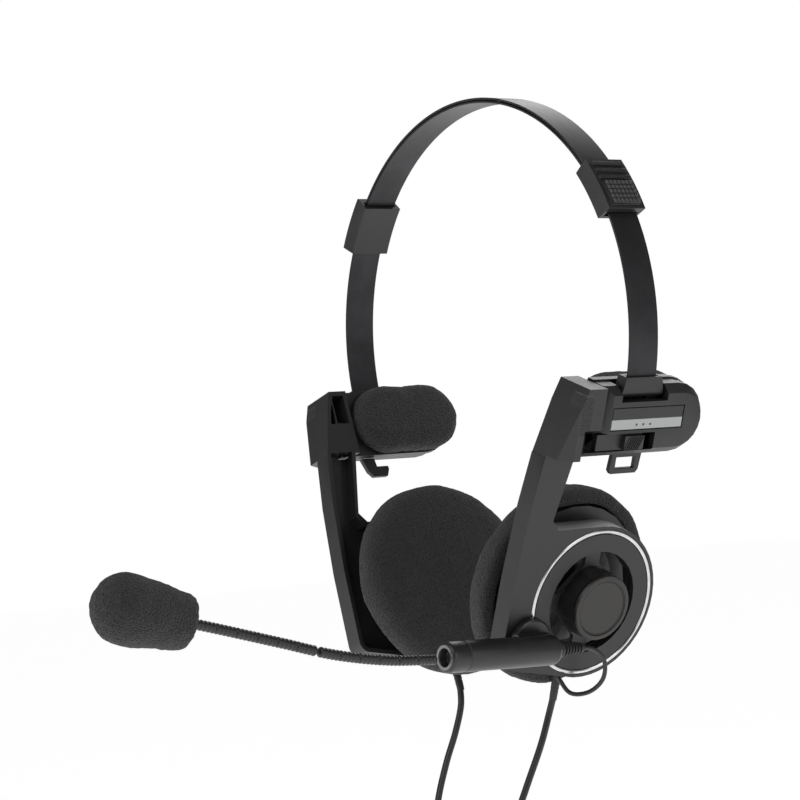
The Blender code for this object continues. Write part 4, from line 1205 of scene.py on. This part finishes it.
    def main_cord(self, pieces: list) -> None:
        """The main cord: splitter, hank of folded turns, plug."""
        run = self.turns * self.main_r
        reach = self.loop + self.main_r
        dip = math.sqrt(reach**2 - (self.loop - self.main_r) ** 2) + 0.3
        top, bottom = self.hank_z + self.half + dip, self.hank_z - self.half - dip
        low = self.split_top - self.split_h
        front, back = self.hank_y - run, self.hank_y + run
        route = [(0, self.hank_y, low - 0.3), (0, self.hank_y - 0.6, low - 4)]
        route += [(self.loop, front, top + 5), (self.loop, front, top)]
        steps = 40
        total = int(self.turns * steps)
        for i in range(total + 1):
            share = i / steps % 1.0
            x, z = self.bow(share)
            route.append((x, front + (back - front) * i / total, self.hank_z + z))
        route += [(self.loop, back, bottom), (self.loop, back - 0.5, bottom - 3)]
        route += [(3.4, self.hank_y, bottom - 8.6), (0.8, self.plug_y + 6, bottom - 6)]
        route += [(0, self.plug_y, bottom + 1), (0, self.plug_y, self.plug_z - 0.3)]
        spots = [in_band(p) for p in smooth_route(route, 1.9)]
        piece = self.shop.cord("main_cord_run", spots, self.main_r)
        self.shop.mount(piece, "right_band_body", "black_rubber", CordJacket("main_jacket"),
                        ["main_cord", "cord_hank", "main_cord_tail"])
        self.length(spots)
        log.info("main cord %.3f m", self.length(spots))

    def bow(self, share: float) -> tuple:
        """A point of one folded turn, from the top right edge down, round and back.

        Args:
            share: how far round the turn, from 0 to 1.

        Returns:
            The (x, z) point about the hank's middle.
        """
        edge, waist, half = self.loop, self.waist, self.half
        if share < 0.32:
            t = share / 0.32
            z = half - 2 * half * t
            x = waist + (edge - waist) * abs(math.cos(math.pi * t)) ** 1.4
            return x, z
        if share < 0.5:
            a = math.pi * (share - 0.32) / 0.18
            return edge * math.cos(a), -half - edge * math.sin(a)
        x, z = self.bow(share - 0.5)
        return -x, -z


@dataclass
class Studio:
    """Pale floor, soft lights and the camera."""

    shop: Workshop
    azimuth: float = 54.168
    elevation: float = -0.278
    roll: float = -2.949
    shift: tuple = (25.592, 19.63, -700.0)
    sensor: float = 36.0
    lens: float = 110.484
    sky: float = 0.20

    def build(self) -> None:
        """Set the floor, the lights and the camera."""
        self.floor()
        self.camera()
        self.world()
        self.light("key", (0.35, -0.85, 0.75), 0.9, 6.5)
        self.light("fill", (1.05, 0.25, 0.10), 0.7, 2.4)
        self.light("rim", (-0.45, 0.75, 0.45), 0.6, 2.6)
        self.light("front", (-0.45, -0.95, -0.05), 0.6, 2.0)

    def floor(self) -> None:
        """A wide paper floor well under the headset."""
        bm = bmesh.new()
        bmesh.ops.create_grid(bm, x_segments=24, y_segments=24, size=FLOOR_REACH)
        for vert in bm.verts:
            vert.co.z = FLOOR_Z
        sheet = self.shop.mesh("floor", bm)
        sheet.data.materials.append(self.shop.material(StudioPaper()))

    def camera(self) -> None:
        """Place the camera."""
        a, e, r = (math.radians(v) for v in (self.azimuth, self.elevation, self.roll))
        right = Vector((math.cos(a), math.sin(a), 0.0))
        back = Vector((math.sin(a) * math.cos(e), -math.cos(a) * math.cos(e), math.sin(e)))
        up = back.cross(right)
        rows = (math.cos(r) * right + math.sin(r) * up, -math.sin(r) * right + math.cos(r) * up, back)
        turn = Matrix(rows)
        spot = -(turn.transposed() @ Vector(self.shift))
        data = bpy.data.cameras.new("camera")
        data.sensor_width = self.sensor
        data.lens = self.lens
        data.clip_end = 20.0
        view = bpy.data.objects.new("camera", data)
        bpy.context.scene.collection.objects.link(view)
        view.matrix_world = Matrix.Translation(in_band(spot)) @ turn.transposed().to_4x4()
        bpy.context.scene.camera = view

    def world(self) -> None:
        """Even white surroundings."""
        world = bpy.data.worlds.new("studio")
        bpy.context.scene.world = world
        world.use_nodes = True
        tree = world.node_tree
        shade = tree.nodes["Background"]
        shade.inputs["Color"].default_value = (1.0, 1.0, 1.0, 1.0)
        shade.inputs["Strength"].default_value = self.sky
        backdrop = tree.nodes.new("ShaderNodeBackground")
        backdrop.inputs["Color"].default_value = (1.0, 1.0, 1.0, 1.0)
        rays, mix = tree.nodes.new("ShaderNodeLightPath"), tree.nodes.new("ShaderNodeMixShader")
        tree.links.new(rays.outputs["Is Camera Ray"], mix.inputs[0])
        tree.links.new(shade.outputs[0], mix.inputs[1])
        tree.links.new(backdrop.outputs[0], mix.inputs[2])
        tree.links.new(mix.outputs[0], tree.nodes["World Output"].inputs["Surface"])
        bpy.context.scene.view_settings.view_transform = "Standard"

    def light(self, name: str, place: tuple, size: float, power: float) -> None:
        """One soft square light aimed at the headset."""
        data = bpy.data.lights.new(name, "AREA")
        data.size, data.energy = size, power
        lamp = bpy.data.objects.new(name, data)
        bpy.context.scene.collection.objects.link(lamp)
        lamp.location = place
        aim = Vector((0.0, 0.0, -0.1)) - Vector(place)
        lamp.rotation_euler = aim.to_track_quat("-Z", "Y").to_euler()


def main() -> None:
    """Build the scene."""
    logging.basicConfig(level=logging.INFO, format="%(name)s: %(message)s")
    noise.seed_set(FOAM_SEED)
    shop = Workshop()
    Studio(shop).build()
    Cords(shop).build()
    Headband(shop).build()
    for side in Side:
        TempleUnit(shop, side).build()
        EarArm(shop, side).build()
        EarCapsule(shop, side).build()
    BoomMicrophone(shop).build()
    log.info("%d pieces", shop.count)


if __name__ == "__main__":
    main()
